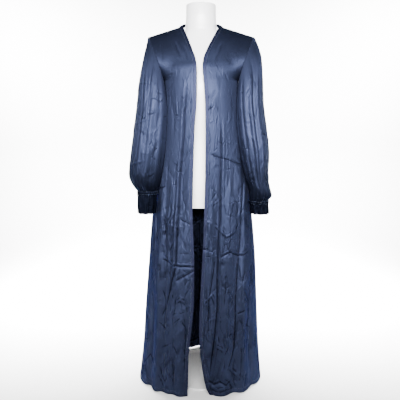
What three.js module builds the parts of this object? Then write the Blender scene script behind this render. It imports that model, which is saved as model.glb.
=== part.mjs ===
// Long open-front dressing gown with full gathered sleeves, on a limbless dress form with its stand.
// Millimetres. +Z is up, -Y is the front, +X is the wearer's left. The origin is on the floor,
// at the centre of the underside of the base plate.
import * as THREE from 'three';

// Driving dimensions
const clothThickness = 1.4;
const bandThickness = 2.2;
const seamGap = 0.5;
const cuffGap = 0.9;
const bandWidth = 13;
const hemHeight = 4;
const shoulderNeck = { x: 70, y: 0, z: 1408 };
const shoulderTip = { x: 199, y: 0, z: 1369 };
const nape = { y: 74, z: 1426 };
const armhole = { bottomX: 141, bottomZ: 1205, halfDepth: 64, round: 1.3, low: 1.4 };
const casingHeight = 12;
const sleeveToBody = 6;
const formNeckTop = 1485;
const formBottom = 722;
const baseRadius = 150;
const baseThickness = 6;
const flangeRadius = 22;
const flangeHeight = 14;
const postRadius = 8;
// The post stands off the middle, behind the left front
const postX = 22;
const standGap = 0.3;

// Roundness of the body: how far a row turns towards the side at the shoulder and below the arm, in degrees,
// and the power that puts most of the change just above the underarm
const rowTurn = { shoulder: 34, underarm: 90, late: 2.65 };
// Fullness over each breast: how far forward, where, and how wide and high
const bust = { forward: 9, x: 72, z: 1200, halfWidth: 42, halfHeight: 75 };
// Share of a fold's depth that is left at the side of the body, and that goes sideways
const foldAtSide = 0.55;
const foldSideways = 0.35;
// How fast a fold deepens below its top end, and how near the side seam it fades
const foldFadeIn = 3.5;
const foldSeamFade = 5;
// Share of the back's top edge, from the nape to the shoulder tip, that goes round the neck
const neckShare = 0.46;
// Powers of the rise of a back row towards its end, and of the neck edge's rise to the nape
const backRise = 1.5;
const napeRise = 3;
// How steeply the back neck band falls and leans back from its edge
const neckBandFall = { shoulder: 0.32, nape: 0.86 };
const neckBandLean = 0.5;
// The neck band's ends stop short of the shoulder seams by this angle, in radians
const neckBandShort = 0.01;
// Lengths that turn half a seam's gap into a share of the way down or across
const gapLength = { shoulder: 850, side: 75 };
// Room between the armhole seam and the sleeve's first ring, and how much more there is at the underarm
const sleeveSeam = { room: 0.8, underarm: 1.9 };
// Share of a sleeve's length over which it leaves the armhole seam, on the outer and inner side
const sleeveFall = { outer: 0.12, inner: 0.3 };
// Heights over which a sleeve's folds fade at their two ends, and how much calmer the side to the body is
const sleeveFoldFade = { top: 90, bottom: 60 };
const sleeveInnerCalm = 0.8;
// Where a sleeve's side to the body begins, how soon its folds set in below the seam,
// and how much of a fold is left at its bottom end
const sleeveInner = { from: 0.35, sharpness: 1.2 };
const sleeveFoldStart = 6;
const sleeveFoldLeft = 0.2;
// Room added to the body's depth where a sleeve passes it
const bodyDepthRoom = 4;
// How soon a ruffle's waves reach their full depth
const ruffleWaveStart = 1.4;
// Power that merges the form's trunk and shoulders; the higher, the sharper
const formMerge = 6;

// How finely each piece is divided: columns across and rows down
const armholeRows = 6;
const skirtRows = 15;
const frontColumns = 17;
const backColumns = 30;
const sleeveColumns = 28;
const sleeveRows = 12;
const ruffleColumns = 32;
const ruffleLevels = [0, 0.4, 1];
const neckBandColumns = 18;
const formColumns = 28;
const standSides = { plate: 48, flange: 24, post: 20 };

// Outline of the body: half widths seen from the front, depth of the back, and place of the side seams
const bodyOutline = [
  { z: 0, wearerRight: 256, wearerLeft: 250, back: 208, seam: -28 },
  { z: 160, wearerRight: 238, wearerLeft: 238, back: 186, seam: -20 },
  { z: 320, wearerRight: 227, wearerLeft: 230, back: 165, seam: -14 },
  { z: 510, wearerRight: 211, wearerLeft: 221, back: 144, seam: -4 },
  { z: 700, wearerRight: 193, wearerLeft: 203, back: 126, seam: 0 },
  { z: 740, wearerRight: 181, wearerLeft: 198, back: 122, seam: 0 },
  { z: 790, wearerRight: 173, wearerLeft: 191, back: 118, seam: 0 },
  { z: 841, wearerRight: 166, wearerLeft: 182, back: 113, seam: 0 },
  { z: 924, wearerRight: 153, wearerLeft: 164, back: 106, seam: 0 },
  { z: 1020, wearerRight: 143, wearerLeft: 151, back: 102, seam: 0 },
  { z: 1130, wearerRight: 139, wearerLeft: 143, back: 104, seam: 0 },
  { z: 1205, wearerRight: 141, wearerLeft: 141, back: 108, seam: 0 },
  { z: 1300, wearerRight: 150, wearerLeft: 150, back: 104, seam: 0 },
  { z: 1380, wearerRight: 160, wearerLeft: 160, back: 92, seam: 0 },
  { z: 1436, wearerRight: 170, wearerLeft: 170, back: 78, seam: 0 },
];

// The two front edges, from the floor to the shoulder seam, and how far forward they lie
const frontEdges = [
  { z: 0, wearerRight: -52, wearerLeft: 36, y: -194 },
  { z: 30, wearerRight: -51, wearerLeft: 20, y: -188 },
  { z: 149, wearerRight: -48, wearerLeft: -1, y: -170 },
  { z: 248, wearerRight: -38, wearerLeft: -8, y: -158 },
  { z: 374, wearerRight: -27, wearerLeft: -4, y: -144 },
  { z: 520, wearerRight: -26, wearerLeft: 4, y: -135 },
  { z: 725, wearerRight: -32, wearerLeft: 12, y: -127 },
  { z: 840, wearerRight: -30, wearerLeft: 15, y: -123 },
  { z: 1020, wearerRight: -24, wearerLeft: 16, y: -121 },
  { z: 1130, wearerRight: -16, wearerLeft: 14, y: -120 },
  { z: 1200, wearerRight: -15, wearerLeft: 9, y: -115 },
  { z: 1250, wearerRight: -16, wearerLeft: 5, y: -108 },
  { z: 1281, wearerRight: -21, wearerLeft: 9, y: -94 },
  { z: 1315, wearerRight: -33, wearerLeft: 22, y: -75 },
  { z: 1346, wearerRight: -44, wearerLeft: 37, y: -56 },
  { z: 1375, wearerRight: -56, wearerLeft: 52, y: -35 },
  { z: 1408, wearerRight: -70, wearerLeft: 70, y: 0 },
];

// Largest folds of the body: x at the top and the bottom end, seen from the front,
// half width across, and depth, which is below zero in a trough
const frontFolds = [
  { topX: -52, bottomX: -116, topZ: 1180, bottomZ: -150, width: 17, depth: -7 },
  { topX: -86, bottomX: -88, topZ: 760, bottomZ: -100, width: 20, depth: 7 },
  { topX: -128, bottomX: -160, topZ: 800, bottomZ: -100, width: 17, depth: -8 },
  { topX: -160, bottomX: -188, topZ: 640, bottomZ: -100, width: 18, depth: 7 },
  { topX: -188, bottomX: -208, topZ: 420, bottomZ: -40, width: 15, depth: -20 },
  { topX: 78, bottomX: 34, topZ: 1060, bottomZ: -100, width: 18, depth: -8 },
  { topX: 112, bottomX: 78, topZ: 760, bottomZ: -100, width: 22, depth: 7 },
  { topX: 160, bottomX: 120, topZ: 850, bottomZ: -100, width: 18, depth: -8 },
  { topX: 176, bottomX: 160, topZ: 620, bottomZ: -100, width: 18, depth: 7 },
  { topX: 186, bottomX: 208, topZ: 320, bottomZ: -40, width: 14, depth: -13 },
];
const backFolds = [
  { topX: -30, bottomX: -52, topZ: 1240, bottomZ: -100, width: 26, depth: -7 },
  { topX: 34, bottomX: 44, topZ: 1200, bottomZ: -100, width: 24, depth: -7 },
  { topX: 4, bottomX: -6, topZ: 900, bottomZ: -100, width: 26, depth: 9 },
  { topX: -92, bottomX: -128, topZ: 900, bottomZ: -100, width: 22, depth: -9 },
  { topX: -74, bottomX: -92, topZ: 700, bottomZ: -100, width: 20, depth: 6 },
  { topX: 98, bottomX: 122, topZ: 840, bottomZ: -100, width: 22, depth: -9 },
  { topX: 72, bottomX: 84, topZ: 660, bottomZ: -100, width: 20, depth: 6 },
  { topX: -140, bottomX: -186, topZ: 640, bottomZ: -100, width: 18, depth: 7 },
  { topX: 146, bottomX: 184, topZ: 600, bottomZ: -100, width: 18, depth: 7 },
];

// Hanging sleeves: how far out and in each reaches from the middle, seen from the front,
// and where its front and back lie
const sleeveOutlines = {
  wearer_right: [
    { z: 789, outer: 246, inner: 168, front: -86, back: -26 },
    { z: 818, outer: 268, inner: 156, front: -102, back: 14 },
    { z: 852, outer: 281, inner: 146, front: -108, back: 44 },
    { z: 924, outer: 275, inner: 132, front: -110, back: 66 },
    { z: 1020, outer: 261, inner: 122, front: -106, back: 76 },
    { z: 1130, outer: 246, inner: 116, front: -99, back: 78 },
    { z: 1205, outer: 237, inner: 124, front: -88, back: 74 },
    { z: 1286, outer: 220, inner: 146, front: -72, back: 66 },
    { z: 1367, outer: 202, inner: 160, front: -34, back: 34 },
  ],
  wearer_left: [
    { z: 751, outer: 262, inner: 190, front: -84, back: -26 },
    { z: 770, outer: 273, inner: 189, front: -96, back: -4 },
    { z: 796, outer: 268, inner: 186, front: -102, back: 20 },
    { z: 841, outer: 263, inner: 170, front: -106, back: 46 },
    { z: 924, outer: 266, inner: 148, front: -110, back: 64 },
    { z: 1020, outer: 256, inner: 130, front: -106, back: 74 },
    { z: 1130, outer: 241, inner: 122, front: -99, back: 78 },
    { z: 1205, outer: 238, inner: 126, front: -88, back: 74 },
    { z: 1286, outer: 231, inner: 146, front: -72, back: 66 },
    { z: 1348, outer: 218, inner: 156, front: -44, back: 44 },
    { z: 1367, outer: 202, inner: 160, front: -34, back: 34 },
  ],
};

// Sleeve folds: angle round the sleeve from its outer side towards the front, in degrees,
// heights of both ends, half width in degrees, and depth
const sleeveFolds = [
  { angle: 40, topZ: 1180, bottomZ: 800, width: 17, depth: -5 },
  { angle: 72, topZ: 1300, bottomZ: 790, width: 15, depth: -5 },
  { angle: 104, topZ: 1120, bottomZ: 800, width: 15, depth: -5 },
  { angle: 232, topZ: 1100, bottomZ: 800, width: 18, depth: -5 },
  { angle: 278, topZ: 1240, bottomZ: 790, width: 18, depth: -6 },
  { angle: 322, topZ: 1060, bottomZ: 800, width: 17, depth: -5 },
];
const wristGathers = { waves: 8, depth: 3.2, reach: 90 };
const ruffles = {
  wearer_right: { bottomZ: 700, topOuter: 247, topInner: 172, bottomOuter: 243, bottomInner: 183 },
  wearer_left: { bottomZ: 698, topOuter: 262, topInner: 193, bottomOuter: 262, bottomInner: 199 },
};
const ruffleShape = { topFront: -83, topBack: -28, bottomFront: -87, bottomBack: -30, waves: 8, depth: 3.4 };

// Smooth dress form, from the flat underside to the flat top of the neck. Each ring is an ellipse of
// the trunk merged with a flatter one of the shoulders.
const formOutline = [
  { z: formBottom, half: 136, front: 84, back: 90, shoulder: 40, shoulderDepth: 20 },
  { z: 800, half: 136, front: 88, back: 94, shoulder: 40, shoulderDepth: 20 },
  { z: 880, half: 123, front: 82, back: 86, shoulder: 40, shoulderDepth: 20 },
  { z: 980, half: 108, front: 76, back: 76, shoulder: 40, shoulderDepth: 20 },
  { z: 1080, half: 116, front: 88, back: 82, shoulder: 40, shoulderDepth: 20 },
  { z: 1170, half: 126, front: 98, back: 88, shoulder: 40, shoulderDepth: 20 },
  { z: 1240, half: 128, front: 90, back: 88, shoulder: 80, shoulderDepth: 40 },
  { z: 1300, half: 124, front: 72, back: 80, shoulder: 146, shoulderDepth: 50 },
  { z: 1340, half: 108, front: 54, back: 70, shoulder: 166, shoulderDepth: 40 },
  { z: 1361, half: 84, front: 48, back: 64, shoulder: 171, shoulderDepth: 30 },
  { z: 1376, half: 70, front: 45, back: 61, shoulder: 163, shoulderDepth: 13 },
  { z: 1391, half: 59, front: 43, back: 60, shoulder: 112, shoulderDepth: 7 },
  { z: 1398, half: 57, front: 43, back: 60, shoulder: 70, shoulderDepth: 5 },
  { z: 1404, half: 56, front: 44, back: 60, shoulder: 58, shoulderDepth: 5 },
  { z: 1420, half: 58, front: 46, back: 61, shoulder: 30, shoulderDepth: 8 },
  { z: 1445, half: 56.5, front: 48, back: 62, shoulder: 30, shoulderDepth: 8 },
  { z: formNeckTop, half: 55.5, front: 47, back: 62, shoulder: 30, shoulderDepth: 8 },
];

// Colours, taken as seen in soft light
const satin = { color: 0x48587a, roughness: 0.42, metalness: 0 };
const satinBand = { color: 0x434c70, roughness: 0.45, metalness: 0 };
const formShell = { color: 0xe6e6e8, roughness: 0.5, metalness: 0 };
const postPaint = { color: 0x16171a, roughness: 0.5, metalness: 0.3 };
const basePaint = { color: 0xececee, roughness: 0.5, metalness: 0 };

const group = new THREE.Group();
group.name = 'dressing_gown_on_dress_form';
const radians = (degrees) => degrees * Math.PI / 180;
const mix = (a, b, share) => a + (b - a) * share;
const clamp01 = (value) => Math.min(1, Math.max(0, value));
const smooth = (value) => clamp01(value) ** 2 * (3 - 2 * clamp01(value));

// Value of a table's column at a height, by a curve through the rows that never overshoots them
function column(table, name, z) {
  const last = table.length - 1;
  if (z <= table[0].z) return table[0][name];
  if (z >= table[last].z) return table[last][name];
  const i = table.findIndex((row) => row.z > z) - 1;
  const slope = (k) => (table[k + 1][name] - table[k][name]) / (table[k + 1].z - table[k].z);
  const tangent = (k) => {
    if (k === 0) return slope(0);
    if (k === last) return slope(last - 1);
    const before = slope(k - 1);
    const after = slope(k);
    return before * after <= 0 ? 0 : 2 * before * after / (before + after);
  };
  const step = table[i + 1].z - table[i].z;
  const t = (z - table[i].z) / step;
  const rise = (1 - t) ** 2 * (1 + 2 * t) * table[i][name] + t ** 2 * (3 - 2 * t) * table[i + 1][name];
  return rise + step * (t * (1 - t) ** 2 * tangent(i) - t ** 2 * (1 - t) * tangent(i + 1));
}

// Depth of the listed folds at a place; each fades in below its top end
function foldDepth(folds, x, z) {
  return folds.reduce((sum, fold) => {
    const along = clamp01((fold.topZ - z) / (fold.topZ - fold.bottomZ));
    const middle = mix(fold.topX, fold.bottomX, along);
    const across = Math.exp(-(((x - middle) / fold.width) ** 2));
    return sum + fold.depth * across * smooth(along * foldFadeIn);
  }, 0);
}

// Armhole seam: 0 at the shoulder tip, a half turn at the underarm, by way of the front or the back.
// In front it is deepest below its middle height.
function armholePoint(side, turn, facing) {
  const middleZ = (shoulderTip.z + armhole.bottomZ) / 2;
  const halfHeight = (shoulderTip.z - armhole.bottomZ) / 2;
  const spread = ((1 + Math.cos(turn)) / 2) ** armhole.round;
  const x = armhole.bottomX + (shoulderTip.x - armhole.bottomX) * spread;
  const deepening = facing < 0 ? Math.PI * (turn / Math.PI) ** armhole.low : turn;
  const y = facing * armhole.halfDepth * Math.sin(deepening);
  return new THREE.Vector3(side * x, y, middleZ + halfHeight * Math.cos(turn));
}

const sideName = (side) => (side < 0 ? 'wearerRight' : 'wearerLeft');
const armholeShare = armholeRows / (armholeRows + skirtRows);

// How far round a row wraps towards the side, in radians
const rowWrap = (down) => {
  const change = clamp01(down / armholeShare) ** rowTurn.late;
  return radians(mix(rowTurn.shoulder, rowTurn.underarm, change));
};

// Outer end of a row: on the armhole above the underarm, on the side seam below it
function rowEnd(side, down, facing) {
  if (down <= armholeShare) return armholePoint(side, Math.PI * down / armholeShare, facing);
  const z = mix(armhole.bottomZ, hemHeight, (down - armholeShare) / (1 - armholeShare));
  return new THREE.Vector3(side * column(bodyOutline, sideName(side), z), column(bodyOutline, 'seam', z), z);
}

// Height at which a row starts, at the front edge or at the middle of the back
function rowStartHeight(down, top) {
  if (down <= armholeShare) return mix(top, armhole.bottomZ, down / armholeShare);
  return mix(armhole.bottomZ, hemHeight, (down - armholeShare) / (1 - armholeShare));
}

// Share of a fold's depth near a side seam, where both panels have to meet
const foldNearSeam = (across) => smooth((1 - across) * foldSeamFade);

// Front of the gown: across goes from the front edge, 0, to the armhole or side seam, 1
function frontSurface(side, across, down) {
  const startZ = rowStartHeight(down, shoulderNeck.z);
  const startX = column(frontEdges, sideName(side), startZ);
  const startY = column(frontEdges, 'y', startZ);
  const end = rowEnd(side, down, -1);
  const wrap = rowWrap(down);
  const share = Math.sin(across * wrap) / Math.sin(wrap);
  const forward = (Math.cos(across * wrap) - Math.cos(wrap)) / (1 - Math.cos(wrap));
  const x = mix(startX, end.x, share);
  const z = mix(startZ, end.z, share);
  const fromBust = ((Math.abs(x) - bust.x) / bust.halfWidth) ** 2 + ((z - bust.z) / bust.halfHeight) ** 2;
  const bulge = foldDepth(frontFolds, x, z) * foldNearSeam(across) + bust.forward * Math.exp(-fromBust);
  const y = mix(end.y, startY, forward) - bulge * mix(foldAtSide, 1, forward);
  return new THREE.Vector3(x + side * bulge * foldSideways * share, y, z);
}

// Back of the gown: across goes from the seam on one side, -1, to the other, 1
function backArc(across, down) {
  const side = across < 0 ? -1 : 1;
  const startZ = rowStartHeight(down, nape.z);
  const end = rowEnd(side, down, 1);
  const wrap = rowWrap(down);
  const share = Math.sin(Math.abs(across) * wrap) / Math.sin(wrap);
  const backward = (Math.cos(across * wrap) - Math.cos(wrap)) / (1 - Math.cos(wrap));
  const x = end.x * share;
  const z = mix(startZ, end.z, share ** backRise);
  const bulge = foldDepth(backFolds, x, z) * foldNearSeam(Math.abs(across));
  const y = mix(end.y, column(bodyOutline, 'back', z), backward) + bulge * mix(foldAtSide, 1, backward);
  return new THREE.Vector3(x, y, z);
}

// Edge of the back neck, by an angle that is 0 at the nape and a quarter turn at each shoulder seam.
// out is the distance from the edge, over the band, towards the back panel.
function neckEdge(angle, out) {
  const rise = 1 - (1 - Math.cos(angle)) ** napeRise;
  const x = (shoulderNeck.x + out) * Math.sin(angle);
  const y = shoulderNeck.y + (nape.y - shoulderNeck.y + out * neckBandLean) * Math.cos(angle);
  const drop = out * mix(neckBandFall.shoulder, neckBandFall.nape, Math.cos(angle));
  return new THREE.Vector3(x, y, mix(shoulderNeck.z, nape.z, rise) - drop);
}

// Top edge of the back panel: shoulder seam, round the neck under the band, shoulder seam
function backTop(across) {
  const reach = Math.abs(across);
  const side = across < 0 ? -1 : 1;
  const out = bandWidth + seamGap * 2;
  if (reach <= neckShare) return neckEdge(across / neckShare * Math.PI / 2, out);
  const start = neckEdge(side * Math.PI / 2, out);
  const tip = new THREE.Vector3(side * shoulderTip.x, shoulderTip.y, shoulderTip.z);
  return start.lerp(tip, (reach - neckShare) / (1 - neckShare));
}

function backSurface(across, down) {
  const fade = 1 - smooth(down / armholeShare * 2);
  const point = backArc(across, down);
  if (fade <= 0) return point;
  return point.add(backTop(across).sub(backArc(across, 0)).multiplyScalar(fade));
}

// Outward direction of a surface at a place, from small steps each way
function surfaceNormal(surface, u, v, outward) {
  const step = 1e-3;
  const alongU = surface(u + step, v).sub(surface(u - step, v));
  const alongV = surface(u, v + step).sub(surface(u, v - step));
  return alongU.cross(alongV).normalize().multiplyScalar(outward);
}

// Closed body between two skins of grid points. A round one joins its last column to its first.
function skinsToGeometry(outer, inner, rows, columns, round, outward) {
  const positions = [];
  const indices = [];
  const stride = round ? columns : columns + 1;
  const count = stride * (rows + 1);
  for (const skin of [outer, inner]) for (const p of skin) positions.push(p.x, p.y, p.z);
  const at = (skin, row, col) => skin * count + row * stride + (round ? (col + columns) % columns : col);
  const quad = (a, b, c, d) => {
    if (outward > 0) indices.push(a, b, c, a, c, d);
    else indices.push(a, c, b, a, d, c);
  };
  for (let row = 0; row < rows; row++) {
    for (let col = 0; col < columns; col++) {
      quad(at(0, row, col), at(0, row, col + 1), at(0, row + 1, col + 1), at(0, row + 1, col));
      quad(at(1, row, col), at(1, row + 1, col), at(1, row + 1, col + 1), at(1, row, col + 1));
    }
  }
  for (let col = 0; col < columns; col++) {
    quad(at(0, 0, col), at(1, 0, col), at(1, 0, col + 1), at(0, 0, col + 1));
    quad(at(0, rows, col), at(0, rows, col + 1), at(1, rows, col + 1), at(1, rows, col));
  }
  for (let row = 0; row < rows && !round; row++) {
    quad(at(0, row, 0), at(0, row + 1, 0), at(1, row + 1, 0), at(1, row, 0));
    quad(at(0, row, columns), at(1, row, columns), at(1, row + 1, columns), at(0, row + 1, columns));
  }
  const geometry = new THREE.BufferGeometry();
  geometry.setAttribute('position', new THREE.Float32BufferAttribute(positions, 3));
  geometry.setIndex(indices);
  geometry.computeVertexNormals();
  return geometry;
}

// Cloth wall of even thickness on both sides of a surface. The normals at a ridge seam can be given.
function clothWall({ surface, levels, stations, thickness, outward, round = false, seamNormal }) {
  const outer = [];
  const inner = [];
  for (const v of levels) {
    for (const u of stations) {
      const given = seamNormal ? seamNormal(u, v) : null;
      const normal = given || surfaceNormal(surface, u, v, outward);
      const point = surface(u, v);
      outer.push(point.clone().addScaledVector(normal, thickness / 2));
      inner.push(point.clone().addScaledVector(normal, -thickness / 2));
    }
  }
  const columns = round ? stations.length : stations.length - 1;
  return skinsToGeometry(outer, inner, levels.length - 1, columns, round, outward);
}

function addPiece(name, geometry, finish) {
  const mesh = new THREE.Mesh(geometry, new THREE.MeshStandardMaterial(finish));
  mesh.name = name;
  group.add(mesh);
}

function evenly(count, from, to) {
  return Array.from({ length: count + 1 }, (unused, i) => mix(from, to, i / count));
}
const bodyLevels = [
  ...evenly(armholeRows, 0, armholeShare),
  ...evenly(skirtRows, armholeShare, 1).slice(1),
];

// Both sides of the shoulder seam share one upright direction, so that their walls don't cross there
const ridge = (side) => new THREE.Vector3(side * (shoulderNeck.z - shoulderTip.z), 0, 0)
  .setZ(shoulderTip.x - shoulderNeck.x).normalize();

// Share of a front row that the band takes
function bandShare(side, down, width) {
  const step = 0.05;
  const start = frontSurface(side, 0, down);
  const near = frontSurface(side, step, down);
  return width * step / start.distanceTo(near);
}

// Shares that half a seam's gap takes at the shoulder and at the side
const shoulderTrim = seamGap / 2 / gapLength.shoulder;
const sideTrim = seamGap / 2 / gapLength.side;

// Fronts and front bands
for (const [side, name] of [[-1, 'right'], [1, 'left']]) {
  const rowLength = (down) => frontSurface(side, 0.9, down).distanceTo(frontSurface(side, 1, down)) * 10;
  const panel = (u, v) => {
    const start = bandShare(side, clamp01(v), bandWidth + seamGap);
    const trim = seamGap / 2 / rowLength(clamp01(v));
    return frontSurface(side, mix(start, 1 - trim, u), v + shoulderTrim * (1 - v));
  };
  const band = (u, v) => {
    const across = bandShare(side, clamp01(v), bandWidth) * u;
    return frontSurface(side, across, v + shoulderTrim * (1 - v));
  };
  const seamNormal = (u, v) => (v === 0 ? ridge(side) : null);
  addPiece(`front_${name}`, clothWall({
    surface: panel, levels: bodyLevels, stations: evenly(frontColumns, 0, 1),
    thickness: clothThickness, outward: -side, seamNormal,
  }), satin);
  addPiece(`front_band_${name}`, clothWall({
    surface: band, levels: bodyLevels, stations: evenly(2, 0, 1),
    thickness: bandThickness, outward: -side, seamNormal,
  }), satinBand);
}

// Back panel and back neck band
const backPanel = (u, v) => backSurface(u * (1 - sideTrim), v + shoulderTrim * (1 - v));
const backSeamNormal = (u, v) => (v === 0 && Math.abs(u) > neckShare ? ridge(Math.sign(u)) : null);
addPiece('back', clothWall({
  surface: backPanel, levels: bodyLevels, stations: evenly(backColumns, -1, 1),
  thickness: clothThickness, outward: 1, seamNormal: backSeamNormal,
}), satin);
const neckBand = (u, v) => neckEdge(u * (Math.PI / 2 - neckBandShort), v * bandWidth);
addPiece('neck_band', clothWall({
  surface: neckBand, levels: [0, 1], stations: evenly(neckBandColumns, -1, 1),
  thickness: bandThickness, outward: 1,
}), satinBand);

// Half width of the body at a height and depth, for the sleeves to keep clear of
function bodyReach(side, y, z) {
  const half = column(bodyOutline, sideName(side), z);
  const depth = y < 0 ? -column(frontEdges, 'y', z) : column(bodyOutline, 'back', z);
  const inside = 1 - (y / (depth + bodyDepthRoom)) ** 2;
  return inside <= 0 ? 0 : half * Math.sqrt(inside) + sleeveToBody;
}

// A ring's point from its reach outwards, inwards, forwards and backwards.
// The turn is 0 on the outer side and a quarter at the front.
function ringPoint(side, turn, z, outer, inner, front, back) {
  const x = (outer + inner) / 2 + (outer - inner) / 2 * Math.cos(turn);
  const y = (front + back) / 2 - (back - front) / 2 * Math.sin(turn);
  return new THREE.Vector3(side * Math.max(x, bodyReach(side, y, z)), y, z);
}

// Sleeve from its armhole seam, down 0, to the gathered wrist, down 1
function sleeveSurface(side, key, turns, down) {
  const turn = turns * Math.PI * 2;
  const table = sleeveOutlines[key];
  const facing = Math.sin(turn) >= 0 ? -1 : 1;
  const seam = armholePoint(side, Math.acos(Math.cos(turn)), facing);
  const low = (1 - Math.cos(turn)) / 2;
  seam.x += side * (sleeveSeam.room + sleeveSeam.underarm * low ** 2);
  const z = mix(seam.z, table[0].z, down);
  const sizes = ['outer', 'inner', 'front', 'back'].map((name) => column(table, name, z));
  const hanging = ringPoint(side, turn, z, ...sizes);
  const wrist = smooth((table[0].z + wristGathers.reach - z) / wristGathers.reach);
  const folds = sleeveFolds.reduce((sum, fold) => {
    const apart = Math.abs(((turns * 360 - fold.angle + 540) % 360) - 180);
    const below = smooth((fold.topZ - z) / sleeveFoldFade.top);
    const above = smooth((z - fold.bottomZ) / sleeveFoldFade.bottom + sleeveFoldLeft);
    return sum + fold.depth * Math.exp(-((apart / fold.width) ** 2)) * below * above;
  }, 0);
  const gathers = wristGathers.depth * wrist * Math.cos(turn * wristGathers.waves);
  const facingBody = smooth((sleeveInner.from - Math.cos(turn)) * sleeveInner.sharpness);
  const out = (folds + gathers) * (1 - facingBody * sleeveInnerCalm) * smooth(down * sleeveFoldStart);
  hanging.x += side * Math.cos(turn) * out;
  hanging.y -= Math.sin(turn) * out;
  return seam.lerp(hanging, smooth(down / mix(sleeveFall.outer, sleeveFall.inner, low)));
}

for (const [side, name] of [[-1, 'right'], [1, 'left']]) {
  const key = `wearer_${name}`;
  const wristZ = sleeveOutlines[key][0].z;
  const turns = evenly(sleeveColumns, 0, 1).slice(0, -1);
  addPiece(`sleeve_${name}`, clothWall({
    surface: (u, v) => sleeveSurface(side, key, u, Math.max(0, v)),
    levels: evenly(sleeveRows, 0, 1), stations: turns, thickness: clothThickness, outward: side, round: true,
  }), satin);
  const row = sleeveOutlines[key][0];
  const casing = (u, v) => {
    const z = wristZ - cuffGap - casingHeight * v;
    return ringPoint(side, u * Math.PI * 2, z, row.outer, row.inner, row.front, row.back);
  };
  addPiece(`cuff_casing_${name}`, clothWall({
    surface: casing, levels: [0, 1], stations: turns,
    thickness: bandThickness, outward: side, round: true,
  }), satinBand);
  const size = ruffles[key];
  const ruffle = (u, v) => {
    const turn = u * Math.PI * 2;
    const z = mix(wristZ - cuffGap * 2 - casingHeight, size.bottomZ, v);
    const outer = mix(size.topOuter, size.bottomOuter, v);
    const inner = mix(size.topInner, size.bottomInner, v);
    const front = mix(ruffleShape.topFront, ruffleShape.bottomFront, v);
    const back = mix(ruffleShape.topBack, ruffleShape.bottomBack, v);
    const point = ringPoint(side, turn, z, outer, inner, front, back);
    const wave = ruffleShape.depth * Math.cos(turn * ruffleShape.waves) * smooth(v * ruffleWaveStart);
    point.x += side * Math.cos(turn) * wave;
    point.y -= Math.sin(turn) * wave;
    return point;
  };
  addPiece(`cuff_ruffle_${name}`, clothWall({
    surface: ruffle, levels: ruffleLevels, stations: evenly(ruffleColumns, 0, 1).slice(0, -1),
    thickness: clothThickness, outward: side, round: true,
  }), satin);
}

// Distance from the middle of an ellipse to its edge, in one direction
function ellipseReach(turn, half, depth) {
  return 1 / Math.hypot(Math.cos(turn) / half, Math.sin(turn) / depth);
}

// Dress form: rings of the outline, closed flat at the neck and at the underside
function formGeometry() {
  const positions = [];
  const indices = [];
  for (const row of formOutline) {
    for (let i = 0; i < formColumns; i++) {
      const turn = i / formColumns * Math.PI * 2;
      const trunk = ellipseReach(turn, row.half, Math.sin(turn) < 0 ? row.front : row.back);
      const shoulder = ellipseReach(turn, row.shoulder, row.shoulderDepth);
      const reach = (trunk ** formMerge + shoulder ** formMerge) ** (1 / formMerge);
      positions.push(reach * Math.cos(turn), reach * Math.sin(turn), row.z);
    }
  }
  const rings = formOutline.length;
  for (let ring = 0; ring < rings - 1; ring++) {
    for (let i = 0; i < formColumns; i++) {
      const next = (i + 1) % formColumns;
      const a = ring * formColumns + i;
      const b = ring * formColumns + next;
      indices.push(a, b, b + formColumns, a, b + formColumns, a + formColumns);
    }
  }
  for (const [ring, flip] of [[0, true], [rings - 1, false]]) {
    const centre = positions.length / 3;
    positions.push(0, 0, formOutline[ring].z);
    for (let i = 0; i < formColumns; i++) {
      const a = ring * formColumns + i;
      const b = ring * formColumns + (i + 1) % formColumns;
      indices.push(...(flip ? [centre, b, a] : [centre, a, b]));
    }
  }
  const geometry = new THREE.BufferGeometry();
  geometry.setAttribute('position', new THREE.Float32BufferAttribute(positions, 3));
  geometry.setIndex(indices);
  geometry.computeVertexNormals();
  return geometry;
}
addPiece('dress_form', formGeometry(), formShell);

// Stand: a round base plate, its flange and the post
function upright(name, { radius, x, from, to, sides, finish }) {
  const geometry = new THREE.CylinderGeometry(radius, radius, to - from, sides);
  geometry.rotateX(Math.PI / 2);
  geometry.translate(x, 0, (from + to) / 2);
  addPiece(name, geometry, finish);
}
const flangeFrom = baseThickness + standGap;
const flangeTo = baseThickness + flangeHeight;
upright('base_plate', {
  radius: baseRadius, x: 0, from: 0, to: baseThickness, sides: standSides.plate, finish: basePaint,
});
upright('base_flange', {
  radius: flangeRadius, x: postX, from: flangeFrom, to: flangeTo, sides: standSides.flange, finish: basePaint,
});
upright('stand_post', {
  radius: postRadius, x: postX, from: flangeTo + standGap, to: formBottom - standGap,
  sides: standSides.post, finish: postPaint,
});

export default group;
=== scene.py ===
"""Looks of a long open-front satin dressing gown with full gathered sleeves, on a limbless dress form.

The pieces are worked out in millimetres, as a pattern cutter measures them, and written to the meshes in
metres. +Z is up, -Y is the front, +X is the wearer's left, and the origin is on the floor under the form.
"""
from __future__ import annotations

import logging
import math
from dataclasses import dataclass
from enum import Enum
from typing import Callable, Sequence, Union

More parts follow.
